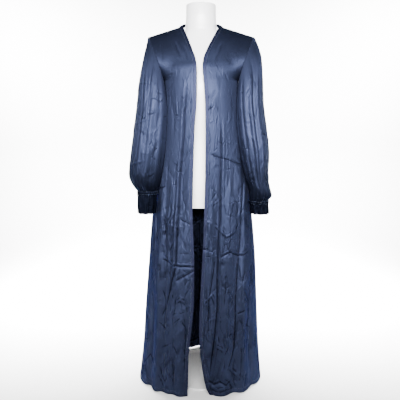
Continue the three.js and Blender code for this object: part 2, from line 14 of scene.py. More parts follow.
import bpy
import numpy as np
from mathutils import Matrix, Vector


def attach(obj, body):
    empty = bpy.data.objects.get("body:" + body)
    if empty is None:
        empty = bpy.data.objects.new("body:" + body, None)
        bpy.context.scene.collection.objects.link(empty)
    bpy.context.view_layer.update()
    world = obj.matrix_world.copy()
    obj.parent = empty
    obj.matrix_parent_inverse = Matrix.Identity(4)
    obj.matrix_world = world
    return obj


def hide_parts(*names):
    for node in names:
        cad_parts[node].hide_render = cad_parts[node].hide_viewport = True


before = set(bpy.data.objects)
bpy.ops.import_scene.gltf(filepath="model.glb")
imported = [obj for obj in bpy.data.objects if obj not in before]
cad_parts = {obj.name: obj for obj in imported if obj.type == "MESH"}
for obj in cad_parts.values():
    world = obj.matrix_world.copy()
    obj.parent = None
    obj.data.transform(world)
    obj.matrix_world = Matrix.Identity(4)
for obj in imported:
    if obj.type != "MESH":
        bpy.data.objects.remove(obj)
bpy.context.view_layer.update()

LOG = logging.getLogger("dressing_gown")
MM = 0.001
BODY = "root"
Array = np.ndarray
Number = Union[float, np.ndarray]
Pair = tuple[float, float]
Colour = tuple[float, float, float]
Place = tuple[float, float, float]
Piece = bpy.types.Object
Finish = bpy.types.Material


class Side(Enum):
    """The wearer's side; its value is the sign of X there."""

    RIGHT = -1
    LEFT = 1

    @property
    def word(self) -> str:
        """The side's name as the pieces carry it."""
        return self.name.lower()


class Run(Enum):
    """Which way a crease mostly runs."""

    DOWN = "down"
    ACROSS = "across"


class Profile(Enum):
    """Section of a crease: a soft dip or ridge, or a pressed fold with a lip on its right or left."""

    DIP = "dip"
    RIDGE = "ridge"
    PRESS_RIGHT = "press_right"
    PRESS_LEFT = "press_left"


DOWN, ACROSS = Run
DIP, RIDGE, PRESS_RIGHT, PRESS_LEFT = Profile


def mix(a: Number, b: Number, share: Number) -> Array:
    """Value between a, at share 0, and b, at share 1."""
    return a + (b - a) * share


def clamp01(value: Number) -> Array:
    """The value kept from 0 to 1."""
    return np.clip(value, 0.0, 1.0)


def smooth(value: Number) -> Array:
    """An S-shaped step: t squared times 3 less 2 t, with t kept from 0 to 1."""
    t = clamp01(value)
    return t * t * (3 - 2 * t)


def bell(distance: Array, width: Number) -> Array:
    """A bell curve: e to the minus square of distance over width."""
    return np.exp(-((distance / width) ** 2))


def points(x: Number, y: Number, z: Number) -> Array:
    """Three arrays of coordinates joined into one array of points."""
    return np.stack(np.broadcast_arrays(x, y, z), axis=-1).astype(float)


class Outline:
    """Sizes by height, in named columns, each joined by a smooth curve that never overshoots its rows."""

    def __init__(self, names: str, rows: Sequence[tuple]) -> None:
        """Keeps the columns' names after the height, and one row for each height, lowest first."""
        table = np.array(rows, float)
        self.heights = table[:, 0]
        self.columns = dict(zip(names.split(), table[:, 1:].T))

    def at(self, name: str, z: Number) -> Array:
        """Value of a column at a height.

        A cubic runs between two rows; its slope at a row is the harmonic mean of the slopes on both sides,
        and is level where the column turns back.

        Args:
            name: the column.
            z: heights, in millimetres.

        Returns:
            The values, in the shape of z.
        """
        heights, values = self.heights, self.columns[name]
        z = np.clip(z, heights[0], heights[-1])
        slope = np.diff(values) / np.diff(heights)
        before, after = slope[:-1], slope[1:]
        turns = before * after <= 0
        middle = np.where(turns, 0.0, 2 * before * after / np.where(turns, 1.0, before + after))
        tangent = np.concatenate([slope[:1], middle, slope[-1:]])
        row = np.clip(np.searchsorted(heights, z, side="right") - 1, 0, len(heights) - 2)
        step = heights[row + 1] - heights[row]
        t = (z - heights[row]) / step
        held = (1 - t) ** 2 * (1 + 2 * t) * values[row] + t**2 * (3 - 2 * t) * values[row + 1]
        return held + step * (t * (1 - t) ** 2 * tangent[row] - t**2 * (1 - t) * tangent[row + 1])


@dataclass(frozen=True)
class Fold:
    """A large fold of the body: x at both ends, their heights, half width, and depth, below 0 in a trough."""

    top_x: float
    bottom_x: float
    top_z: float
    bottom_z: float
    width: float
    depth: float

    def at(self, x: Array, z: Array) -> Array:
        """Depth at a place: a bell across the fold, which fades in over its first part below the top."""
        along = clamp01((self.top_z - z) / (self.top_z - self.bottom_z))
        middle = mix(self.top_x, self.bottom_x, along)
        return self.depth * bell(x - middle, self.width) * smooth(along * 3.5)


@dataclass(frozen=True)
class Crease:
    """A listed crease: half width, depth, fade at its ends, path in x and z, run and section."""

    width: float
    depth: float
    fade: float
    path: Array
    run: Run
    profile: Profile

    def at(self, x: Array, z: Array) -> Array:
        """Depth at a place, above 0 where the crease stands out.

        The path is a broken line; the distance from it is taken across its run and shortened by its slope.
        A dip is a bell below 0 and a ridge one above it; a press is a dip with a lower, wider bell beside it.

        Args:
            x: places across, in millimetres.
            z: heights, in millimetres.

        Returns:
            The depths.
        """
        along, off, a, b = (1, 0, z, x) if self.run is DOWN else (0, 1, x, z)
        line = self.path[np.argsort(self.path[:, along])]
        low, high = line[0, along], line[-1, along]
        slope = np.gradient(line[:, off], line[:, along])
        lean = np.cos(np.arctan(np.interp(a, line[:, along], slope)))
        share = (a - low) / (high - low)
        ends = smooth(share * self.fade) * smooth((1 - share) * self.fade)
        apart = (b - np.interp(a, line[:, along], line[:, off])) * lean
        core = bell(apart, self.width)
        if self.profile in (DIP, RIDGE):
            return self.depth * (core if self.profile is RIDGE else -core) * ends
        toward = 1 if self.profile is PRESS_RIGHT else -1
        lip = 0.62 * bell(apart - toward * 1.9 * self.width, 1.35 * self.width)
        return self.depth * (lip - core) * ends


def creases(run: Run, profile: Profile, *rows: tuple[float, ...]) -> list[Crease]:
    """Creases of one kind; each row has half width, depth and fade, then x and z of each point."""
    return [Crease(*row[:3], np.reshape(row[3:], (-1, 2)).astype(float), run, profile) for row in rows]


@dataclass(frozen=True)
class Crumple:
    """Many small creases strewn over a stretch of cloth, uneven in length, lean, width and depth."""

    seed: int
    count: int
    low: Pair
    high: Pair
    length: float = 46.0
    width: float = 4.6
    depth: float = 1.15
    lean: float = 0.34

    def at(self, x: Array, z: Array) -> Array:
        """Depth at a place: a sum of long bells, each turned by its own lean, as often dips as ridges."""
        rng = np.random.default_rng(self.seed)
        total = np.zeros_like(x)
        for _ in range(self.count):
            middle_x = rng.uniform(self.low[0], self.high[0])
            middle_z = rng.uniform(self.low[1], self.high[1])
            turn = rng.normal(0.0, self.lean)
            half = self.length * rng.uniform(0.35, 1.25)
            wide = self.width * rng.uniform(0.7, 1.5)
            deep = self.depth * rng.uniform(0.3, 1.2) * rng.choice((-1.0, 1.0))
            dx, dz = x - middle_x, z - middle_z
            down = dz * math.cos(turn) - dx * math.sin(turn)
            bend = dx * math.cos(turn) + dz * math.sin(turn) + down**2 * rng.normal(0.0, 0.0016)
            total += deep * bell(bend, wide) * bell(down, half)
        return total


Relief = Sequence[Union[Fold, Crease, Crumple]]

# The fronts' relief is placed along the press lines of the photographed gown.
RIGHT_RELIEF: Relief = (
    Fold(-52, -116, 1180, -150, 17, -7), Fold(-86, -88, 760, -100, 20, 7),
    Fold(-128, -160, 800, -100, 17, -8), Fold(-160, -188, 640, -100, 18, 7),
    Fold(-188, -208, 420, -40, 15, -20),
    *creases(
        DOWN, PRESS_LEFT,
        (4.2, 5, 9, -52, 1215, -56, 1108, -61, 1090, -66, 986, -70, 949, -78, 862, -86, 706, -91, 622,
         -97, 509, -119, 411, -145, 294),
    ),
    *creases(
        DOWN, DIP,
        (3.6, 2.4, 4, -38, 1134, -39, 1078),
        (5, 3.2, 4, -163, 805, -171, 706, -175, 610, -179, 525, -184, 435),
        (4.6, 3, 4, -122, 955, -131, 800, -136, 710, -137, 626, -141, 525),
        (4.4, 2.6, 4, -93, 915, -97, 800, -104, 710, -110, 626, -118, 525),
        (4.4, 2.8, 4, -154, 418, -139, 364, -143, 329, -158, 285), (5, 2.8, 4, -58, 280, -62, 181, -66, 80),
        (5, 2.8, 4, -128, 210, -131, 120, -138, 30), (4.2, 1.8, 4, -150, 1350, -145, 1301, -142, 1270),
        (4.6, 2.2, 3, -62, 1330, -55, 1301, -47, 1270),
        (5.5, 2.6, 3, -118, 1180, -106, 1120, -100, 1060, -104, 980),
    ),
    *creases(ACROSS, PRESS_RIGHT, (3.4, 3.4, 7, -155, 527, -134, 521, -109, 507, -80, 505, -20, 505)),
    *creases(
        ACROSS, DIP,
        (3.6, 3.2, 4, -104, 445, -60, 470, -18, 495), (3.6, 2.2, 4, -87, 691, -53, 675, -36, 668),
        (3.4, 2.2, 4, -163, 798, -146, 804, -134, 809), (4, 2.6, 4, -75, 293, -56, 265),
        (5, 3, 4, -240, 70, -209, 126, -184, 86),
    ),
    *creases(
        DOWN, RIDGE,
        (5.2, 3.4, 4, -142, 805, -151, 710, -152, 626, -164, 525, -173, 376),
        (5.2, 3, 4, -108, 900, -112, 800, -124, 710, -126, 525, -131, 376),
        (5, 3, 4, -182, 132, -159, 65, -136, 17), (5.5, 3.2, 4, -197, 225, -213, 161, -225, 100),
        (5, 3, 4, -97, 176, -97, 103, -105, 22),
    ),
    *creases(
        ACROSS, RIDGE,
        (4, 2.2, 4, -151, 691, -125, 675, -109, 706, -94, 740), (4, 2.2, 4, -98, 362, -81, 376, -56, 363),
    ),
    *creases(DOWN, PRESS_RIGHT, (5, 2.6, 3, -100, 1358, -88, 1320, -73, 1280)),
    Crumple(11, 90, (-190, 40), (-40, 1150)), Crumple(12, 46, (-185, 330), (-95, 860), 60, 5.0, 1.9, 0.2),
    Crumple(13, 22, (-190, 40), (-50, 330), 40, 5.5, 1.7, 0.5),
    Crumple(14, 22, (-180, 200), (-40, 1000), 26, 3.8, 1.3, 1.4),
)

LEFT_RELIEF: Relief = (
    Fold(78, 34, 1060, -100, 18, -8), Fold(112, 78, 760, -100, 22, 7), Fold(160, 120, 850, -100, 18, -8),
    Fold(176, 160, 620, -100, 18, 7), Fold(186, 208, 320, -40, 14, -13),
    *creases(
        DOWN, PRESS_RIGHT,
        (4.2, 5.4, 9, 76, 1085, 77, 938, 74, 838, 73, 683, 66, 602, 65, 505, 63, 443, 63, 333, 52, 212,
         38, 115, 33, 66),
    ),
    *creases(
        DOWN, PRESS_LEFT,
        (4.6, 4.4, 8, 165, 900, 165, 838, 158, 721, 155, 602, 150, 544, 145, 493, 138, 372, 136, 251,
         131, 173, 121, 134, 89, 68), (5, 2.6, 3, 78, 1350, 65, 1309, 50, 1262),
    ),
    *creases(
        DOWN, DIP,
        (5, 3.2, 4, 182, 460, 178, 411, 184, 212, 174, 75), (4.2, 2.2, 4, 95, 505, 94, 415, 87, 330),
        (3.6, 2.2, 4, 124, 748, 120, 714, 113, 694), (3.4, 1.6, 4, 97, 1196, 86, 1228),
        (4.6, 2.8, 4, 49, 566, 53, 525, 44, 454, 31, 376, 27, 251, 33, 178),
        (5, 3.2, 4, 89, 72, 110, 45, 124, 12), (5, 2.8, 4, 160, 200, 158, 110, 150, 30),
        (4.2, 1.8, 3, 40, 1335, 32, 1309, 25, 1284), (5.5, 2.2, 3, 128, 1190, 118, 1100, 116, 1010),
        (5, 1.8, 3, 52, 860, 50, 760, 46, 690),
    ),
    *creases(
        ACROSS, DIP,
        (3.4, 2.6, 4, 3, 575, 36, 571), (3.6, 2.4, 4, 26, 935, 53, 927, 102, 912, 123, 901, 164, 889),
        (3.4, 1.8, 4, 22, 1092, 45, 1106), (5, 4, 4, 25, 62, 50, 45, 74, 57, 97, 42, 122, 54),
        (4, 2, 4, 141, 305, 175, 322),
    ),
    *creases(
        ACROSS, PRESS_RIGHT,
        (3.4, 3.4, 8, 68, 541, 84, 546, 108, 560, 129, 548, 148, 538, 167, 540, 188, 553),
    ),
    *creases(
        ACROSS, RIDGE,
        (3.6, 2.8, 4, 43, 678, 72, 645, 97, 622, 117, 633, 142, 646),
        (3.6, 2.2, 4, 89, 597, 102, 602, 123, 620), (4, 2.4, 4, 6, 362, 42, 392, 60, 350),
        (4.5, 3.2, 4, 33, 38, 66, 26, 97, 34, 126, 22), (4, 2, 4, 56, 194, 81, 181, 99, 177),
    ),
    *creases(
        DOWN, RIDGE,
        (5, 2.4, 4, 32, 684, 32, 588), (5.5, 3, 4, 92, 240, 84, 130, 60, 40),
        (5.5, 1.8, 3, 108, 880, 112, 800, 106, 700, 104, 620),
    ),
    Crumple(21, 70, (25, 40), (205, 1150)), Crumple(22, 22, (120, 600), (180, 900), 50, 4.6, 1.5, 0.3),
    Crumple(23, 24, (40, 30), (200, 330), 40, 5.5, 1.7, 0.5),
    Crumple(24, 24, (20, 200), (190, 1000), 26, 3.8, 1.3, 1.4),
)

FRONT_RELIEF = {Side.RIGHT: RIGHT_RELIEF, Side.LEFT: LEFT_RELIEF}

# The back has folds and creases of the same kinds.
BACK_RELIEF: Relief = (
    Fold(-30, -52, 1240, -100, 26, -7), Fold(34, 44, 1200, -100, 24, -7), Fold(4, -6, 900, -100, 26, 9),
    Fold(-92, -128, 900, -100, 22, -9), Fold(-74, -92, 700, -100, 20, 6), Fold(98, 122, 840, -100, 22, -9),
    Fold(72, 84, 660, -100, 20, 6), Fold(-140, -186, 640, -100, 18, 7), Fold(146, 184, 600, -100, 18, 7),
    *creases(
        DOWN, PRESS_LEFT,
        (4.6, 4.6, 8, -34, 1200, -40, 900, -47, 560, -52, 300, -60, 90),
        (5, 4, 8, 104, 980, 110, 700, 118, 420, 124, 90),
    ),
    *creases(
        DOWN, PRESS_RIGHT,
        (4.6, 4.2, 8, 38, 1120, 36, 860, 42, 520, 50, 240),
        (5, 4, 8, -104, 1000, -112, 760, -122, 400, -134, 60),
    ),
    *creases(
        DOWN, DIP,
        (5, 2.6, 4, -8, 700, -4, 420, -12, 150), (5, 3, 4, 152, 700, 166, 420, 182, 160),
        (5, 3, 4, -150, 720, -168, 440, -190, 140), (6, 2.2, 3, -100, 1300, -84, 1230, -80, 1150),
        (6, 2.2, 3, 96, 1300, 82, 1220, 80, 1130),
    ),
    *creases(
        DOWN, RIDGE,
        (4.6, 2.4, 4, -70, 760, -78, 560, -76, 380), (4.6, 2.4, 4, 74, 820, 80, 600, 86, 330),
    ),
    *creases(ACROSS, PRESS_RIGHT, (3.6, 2.8, 7, -150, 512, -70, 505, 10, 507, 90, 500, 160, 510)),
    *creases(
        ACROSS, DIP,
        (3.6, 2.2, 4, -120, 912, -40, 920, 30, 908, 110, 914), (4, 2.2, 4, 60, 300, 110, 322, 150, 300),
        (5, 2.8, 4, -120, 60, -60, 40, 0, 52, 70, 36, 130, 56),
    ),
    *creases(ACROSS, RIDGE, (3.6, 2.2, 4, -60, 636, -20, 622, 24, 642)),
    Crumple(31, 150, (-200, 40), (200, 1180)), Crumple(32, 40, (-150, 350), (150, 900), 56, 5.0, 1.7, 0.25),
    Crumple(33, 40, (-190, 30), (190, 330), 40, 5.5, 1.7, 0.5),
    Crumple(34, 36, (-180, 200), (180, 1000), 26, 3.8, 1.3, 1.4),
)


def relief_at(relief: Relief, x: Array, z: Array) -> Array:
    """Sum of the depths of all the listed folds, creases and crumples at a place."""
    return sum((part.at(x, z) for part in relief), np.zeros(np.broadcast(x, z).shape))


def quads(rows: int, columns: int, closed: bool) -> Array:
    """Corner numbers of the faces of a grid, 4 to a row; on a closed one the last column meets the first."""
    row, col = np.meshgrid(np.arange(rows - 1), np.arange(columns if closed else columns - 1), indexing="ij")
    a, b = row * columns + col, row * columns + (col + 1) % columns
    return np.stack([a, b, b + columns, a + columns], axis=-1).reshape(-1, 4)


def write_mesh(
    name: str, corners: Array, faces: Sequence[Array], uv: Array | None = None, dent: Array | None = None
) -> Piece:
    """Makes an object of points and faces, smooth shaded, at the origin.

    Args:
        name: the piece's name.
        corners: points in millimetres, one row each.
        faces: arrays of corner numbers, a face to a row.
        uv: place of each point on the flat cloth in metres, or None.
        dent: how hollow the cloth is at each point, or None.

    Returns:
        The new object.
    """
    mesh = bpy.data.meshes.new(name)
    mesh.from_pydata((corners * MM).tolist(), [], [face for block in faces for face in block.tolist()])
    if uv is not None:
        numbers = np.empty(len(mesh.loops), np.int32)
        mesh.loops.foreach_get("vertex_index", numbers)
        mesh.uv_layers.new(name="cloth").data.foreach_set("uv", uv[numbers].astype(np.float32).ravel())
    if dent is not None:
        mesh.attributes.new("dent", "FLOAT", "POINT").data.foreach_set("value", dent.astype(np.float32))
    mesh.polygons.foreach_set("use_smooth", np.ones(len(mesh.polygons), bool))
    mesh.update()
    piece = bpy.data.objects.new(name, mesh)
    bpy.context.scene.collection.objects.link(piece)
    return piece


def dress(piece: Piece, finish: Finish, slot: str, *nodes: str) -> None:
    """Gives a piece its material, has it ride on the body and stand for CAD nodes.

    Args:
        piece: the finished object.
        finish: its material.
        slot: not used.
        nodes: the CAD nodes it replaces.
    """
    piece.data.materials.append(finish)
    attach(piece, BODY)
    if nodes:
        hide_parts(*nodes)
    LOG.info("%s: %d faces", piece.name, len(piece.data.polygons))


@dataclass(frozen=True)
class Skin:
    """Middle surface of a cloth: points in millimetres, rows by columns by 3.

    It faces out by the sign of outward; on a closed one, such as a sleeve, the last column meets the first.
    """

    grid: Array
    outward: int
    closed: bool = False

    def normals(self) -> Array:
        """Unit normals: cross products of the differences along the columns and along the rows."""
        if self.closed:
            across = np.roll(self.grid, -1, axis=1) - np.roll(self.grid, 1, axis=1)
        else:
            across = np.gradient(self.grid, axis=1)
        normal = np.cross(across, np.gradient(self.grid, axis=0)) * self.outward
        return normal / np.maximum(np.linalg.norm(normal, axis=-1, keepdims=True), 1e-12)

    def dents(self, normal: Array) -> Array:
        """How hollow each point is, in millimetres, for the painted shade that darkens the troughs of the
        cloth.

        The middle of the two neighbours in a row, less the point, is measured along the normal: above 0 in
        a trough. The same down a column is added.

        Args:
            normal: the unit normals.

        Returns:
            One number for each point.
        """
        total = np.zeros(self.grid.shape[:2])
        for axis in (0, 1):
            gap = (np.roll(self.grid, 1, axis) + np.roll(self.grid, -1, axis)) / 2 - self.grid
            part = np.sum(gap * normal, axis=-1)
            if axis == 0:
                part[[0, -1]] = 0
            elif not self.closed:
                part[:, [0, -1]] = 0
            total += part
        return total

    def wall(self, name: str, thickness: Number, flat: Pair, first_normal: Array | None) -> Piece:
        """A wall of cloth: two faces half a thickness each side of the grid, closed by a rim.

        Args:
            name: its name.
            thickness: one number, or one for each point.
            flat: width and length of the cut in metres, which the weave follows.
            first_normal: normals for the first row where it meets another panel at a ridge, or None.

        Returns:
            The object.
        """
        rows, columns = self.grid.shape[:2]
        normal = self.normals()
        if first_normal is not None:
            known = np.linalg.norm(first_normal, axis=-1) > 0
            normal[0, known] = first_normal[known]
        half = np.broadcast_to(np.asarray(thickness, float), (rows, columns))[..., None] / 2
        corners = np.concatenate([(self.grid + sign * half * normal).reshape(-1, 3) for sign in (1, -1)])
        count = rows * columns
        front = quads(rows, columns, self.closed)
        col = np.arange(columns if self.closed else columns - 1)
        after, base = (col + 1) % columns, count - columns
        edges = [(col, after), (base + after, base + col)]
        if not self.closed:
            row = np.arange(rows - 1) * columns
            edges += [(row + columns, row), (row + columns - 1, row + 2 * columns - 1)]
        rim = [np.stack([a, a + count, b + count, b], axis=-1) for a, b in edges]
        faces = [front, front[:, ::-1] + count, *rim]
        if self.outward < 0:
            faces = [block[:, ::-1] for block in faces]
        across, down = np.meshgrid(np.linspace(0, flat[0], columns), np.linspace(0, flat[1], rows))
        place = np.tile(np.stack([across.ravel(), down.ravel()], axis=-1), (2, 1))
        return write_mesh(name, corners, faces, place, np.tile(self.dents(normal).ravel(), 2))


@dataclass(frozen=True)
class Cut:
    """A sheet as it is cut and sewn: flat width and length in metres, and its share of that rectangle."""

    node: str
    slot: str
    rests_on: str
    flat: Pair
    held: str = "hung"
    share: float = 1.0

    def sew(self, finish: Finish, skin: Skin, thickness: Number, first_normal: Array | None = None) -> None:
        """Args:
            finish: the material.
            skin: the middle surface.
            thickness: one number, or one for each point.
            first_normal: normals for the first row, or None.
        """
        name = f"gown_{self.node.removeprefix('cuff_')}"
        piece = skin.wall(name, thickness, self.flat, first_normal)
        dress(piece, finish, self.slot, self.node)


def closed_rings(name: str, grid: Array, middle_x: float = 0.0) -> Piece:
    """A piece of rings of points, low to high, closed flat at both ends.

    Args:
        name: the piece's name.
        grid: rings by points by 3, in millimetres.
        middle_x: place of the upright axis across.

    Returns:
        The new object.
    """
    rows, sides = grid.shape[:2]
    middles = [[middle_x, 0, grid[0, 0, 2]], [middle_x, 0, grid[-1, 0, 2]]]
    col = np.arange(sides)
    after, top, count = (col + 1) % sides, (rows - 1) * sides, rows * sides
    under = np.stack([np.full(sides, count), after, col], axis=-1)
    over = np.stack([np.full(sides, count + 1), top + col, top + after], axis=-1)
    corners = np.concatenate([grid.reshape(-1, 3), middles])
    return write_mesh(name, corners, [quads(rows, sides, True), under, over])


def turned_shape(
    name: str, profile: Sequence[Pair], sides: int, bevel: float, middle_x: float = 0.0
) -> Piece:
    """A round piece: a profile of radius and height carried round an upright axis.

    Each inner corner of the profile is cut back by the bevel and rounded with 5 points.

    Args:
        name: the piece's name.
        profile: radius and height in millimetres, from the middle of the underside to the middle of the top.
        sides: points round the piece.
        bevel: radius of the edges.
        middle_x: place of the axis across.

    Returns:
        The new object.
    """
    line = []
    for before, corner, after in zip(profile, profile[1:], profile[2:]):
        corner = np.array(corner, float)
        back, on = np.array(before) - corner, np.array(after) - corner
        cut = min(bevel, np.linalg.norm(back) / 2, np.linalg.norm(on) / 2)
        start, end = corner + back / np.linalg.norm(back) * cut, corner + on / np.linalg.norm(on) * cut
        line += [mix(mix(start, corner, t), mix(corner, end, t), t) for t in np.linspace(0, 1, 5)]
    radius, height = np.array(line).T[..., None]
    turn = np.linspace(0, 2 * np.pi, sides, endpoint=False)
    grid = points(middle_x + radius * np.cos(turn), radius * np.sin(turn), height)
    return closed_rings(name, grid, middle_x)


def read_off(rows: Array, step: Array, place: Array) -> Array:
    """Rows of numbers read off at places along a line, mixed between its steps."""
    return np.stack([np.interp(place, step, column) for column in rows.T], axis=-1)


@dataclass(frozen=True)
class Stitching:
    """A row of machine stitches that stands just proud of the cloth."""

    length: float = 2.5
    pitch: float = 3.3
    radius: float = 0.3

    def along(self, name: str, lines: Sequence[tuple[Array, Array]]) -> Piece:
        """Lays stitches along lines of points.

        Each stitch is a six-sided bar of five rings that taper and sink at both ends: its place along the
        line is a multiple of the pitch, and its own axes are the line, the normal and their cross product.

        Args:
            name: its name.
            lines: pairs of the line's points and its normals, in millimetres.

        Returns:
            One object with all the stitches.
        """
        station = np.array([-0.5, -0.38, 0.0, 0.38, 0.5])[:, None] * self.length
        swell = np.array([0.35, 0.9, 1.0, 0.9, 0.35])[:, None] * self.radius
        sink = np.array([-0.75, -0.1, 0.12, -0.1, -0.75])[:, None] * self.radius
        turn = np.arange(6) / 6 * 2 * np.pi
        bar = points(station, sink + swell * np.sin(turn), swell * np.cos(turn)).reshape(-1, 3)
        ends = [np.arange(5, -1, -1)[None], np.arange(24, 30)[None]]
        corners, sides, caps = [], [], []
        start = 0
        for line, normal in lines:
            step = np.concatenate([[0], np.cumsum(np.linalg.norm(np.diff(line, axis=0), axis=1))])
            place = np.arange(self.pitch, step[-1] - self.pitch, self.pitch)
            centre = read_off(line, step, place)
            ahead = read_off(line, step, place + 0.5) - centre
            up = read_off(normal, step, place)
            ahead /= np.linalg.norm(ahead, axis=-1, keepdims=True)
            up /= np.linalg.norm(up, axis=-1, keepdims=True)
            axes = np.stack([ahead, up, np.cross(ahead, up)], axis=1)
            corners.append((centre[:, None, :] + np.einsum("vk,nkc->nvc", bar, axes)).reshape(-1, 3))
            offset = start + np.arange(len(place))[:, None, None] * len(bar)
            sides.append((quads(5, 6, True)[None] + offset).reshape(-1, 4))
            caps += [(end[None] + offset).reshape(-1, 6) for end in ends]
            start += len(corners[-1])
        return write_mesh(name, np.concatenate(corners), [np.concatenate(sides), np.concatenate(caps)])


def operator(operation: str, turned: bool = False) -> Callable[[Wire, Value], Wire]:
    """Makes an operator method that adds a Math node; a turned one puts the other value first."""

    def method(self: Wire, other: Value) -> Wire:
        """Works the two values out on the desk."""
        first, second = (other, self) if turned else (self, other)
        return self.desk.wire("ShaderNodeMath", 0, {"operation": operation}, {0: first, 1: second})

    return method


@dataclass(frozen=True)
class Wire:
    """An output socket of a shader node, and the desk its nodes are on. Sums and the like add Math nodes."""

    desk: NodeDesk
    socket: bpy.types.NodeSocket
    __add__, __radd__ = operator("ADD"), operator("ADD", turned=True)
    __sub__, __rsub__ = operator("SUBTRACT"), operator("SUBTRACT", turned=True)
    __mul__, __rmul__ = operator("MULTIPLY"), operator("MULTIPLY", turned=True)
    __truediv__, __pow__ = operator("DIVIDE"), operator("POWER")
    at_most = operator("MINIMUM")


Value = Union[Wire, float, tuple]


class NodeDesk:
    """A material's node tree, and the one method that adds nodes to it."""

    def __init__(self, name: str) -> None:
        """Starts an empty material of that name."""
        self.material = bpy.data.materials.new(name)
        self.material.use_nodes = True
        self.tree = self.material.node_tree
        self.tree.nodes.clear()

    def add(self, kind: str, settings: dict | None = None, inputs: dict | None = None) -> bpy.types.Node:
        """Adds a node.

        Args:
            kind: the node's type.
            settings: its properties, set first.
            inputs: its sockets by name or number, each with a value or a Wire.

        Returns:
            The node.
        """
        node = self.tree.nodes.new(kind)
        for key, setting in (settings or {}).items():
            setattr(node, key, setting)
        for key, value in (inputs or {}).items():
            if isinstance(value, Wire):
                self.tree.links.new(value.socket, node.inputs[key])
            else:
                node.inputs[key].default_value = value
        return node

    def wire(
        self, kind: str, output: str | int, settings: dict | None = None, inputs: dict | None = None
    ) -> Wire:
        """Adds a node and returns one of its outputs."""
        return Wire(self, self.add(kind, settings, inputs).outputs[output])

    def place(self, source: str, stretch: Colour = (1.0, 1.0, 1.0)) -> Wire:
        """Coordinates of a Texture Coordinate output, stretched by a factor along each axis."""
        raw = self.wire("ShaderNodeTexCoord", source)
        return self.wire("ShaderNodeMapping", 0, {"vector_type": "POINT"}, {"Vector": raw, "Scale": stretch})

    def noise(self, place: Wire, scale: float, detail: float = 3.0, output: str = "Fac") -> Wire:
        """A noise texture's value, from 0 to 1 round 0.5, or its colour."""
        inputs = {"Vector": place, "Scale": scale, "Detail": detail}
        return self.wire("ShaderNodeTexNoise", output, None, inputs)

    def wave(self, place: Wire, direction: str, scale: float, distortion: float = 0.0) -> Wire:
        """Bands along a direction, from 0 to 1, bent by the distortion."""
        inputs = {"Vector": place, "Scale": scale, "Distortion": distortion}
        if distortion:
            inputs["Detail"] = 1.0
        return self.wire("ShaderNodeTexWave", "Fac", {"bands_direction": direction}, inputs)

    def bend(self, place: Wire, scale: float, amount: float) -> Wire:
        """Moves places about by a noise, by up to half the amount each way."""
        shift = self.noise(place, scale, 1.0, "Color")
        moved = self.wire("ShaderNodeVectorMath", 0, {"operation": "SCALE"}, {0: shift, 3: amount})
        return self.wire("ShaderNodeVectorMath", 0, {"operation": "ADD"}, {0: place, 1: moved})

    def step(self, value: Wire, start: float, end: float, low: float, high: float) -> Wire:
        """S-shaped step of a value, from low at its start to high at its end."""
        inputs = {0: value, 1: start, 2: end, 3: low, 4: high}
        return self.wire("ShaderNodeMapRange", 0, {"interpolation_type": "SMOOTHSTEP"}, inputs)

    def blend(self, share: Value, first: Union[Wire, Colour], second: Union[Wire, Colour]) -> Wire:
        """Mix of two colours by a share from 0 to 1."""
        whole = [value if isinstance(value, Wire) else (*value, 1.0) for value in (first, second)]
        return self.wire("ShaderNodeMix", 2, {"data_type": "RGBA"}, {0: share, 6: whole[0], 7: whole[1]})

    def bump(self, height: Wire, distance: float, below: Wire | None = None) -> Wire:
        """Normals from a height.

        Args:
            height: the height, from 0 to 1.
            distance: metres that a height of 1 stands for.
            below: normals of a coarser relief under it.

        Returns:
            The normals.
        """
        inputs = {"Height": height, "Distance": distance, "Strength": 1.0}
        if below is not None:
            inputs["Normal"] = below
        return self.wire("ShaderNodeBump", "Normal", None, inputs)

    def finish(self, inputs: dict) -> Finish:
        """Adds the Principled shader, with a value or a Wire for each named socket, and the output."""
        surface = self.wire("ShaderNodeBsdfPrincipled", 0, None, inputs)
        self.add("ShaderNodeOutputMaterial", None, {"Surface": surface})
        return self.material


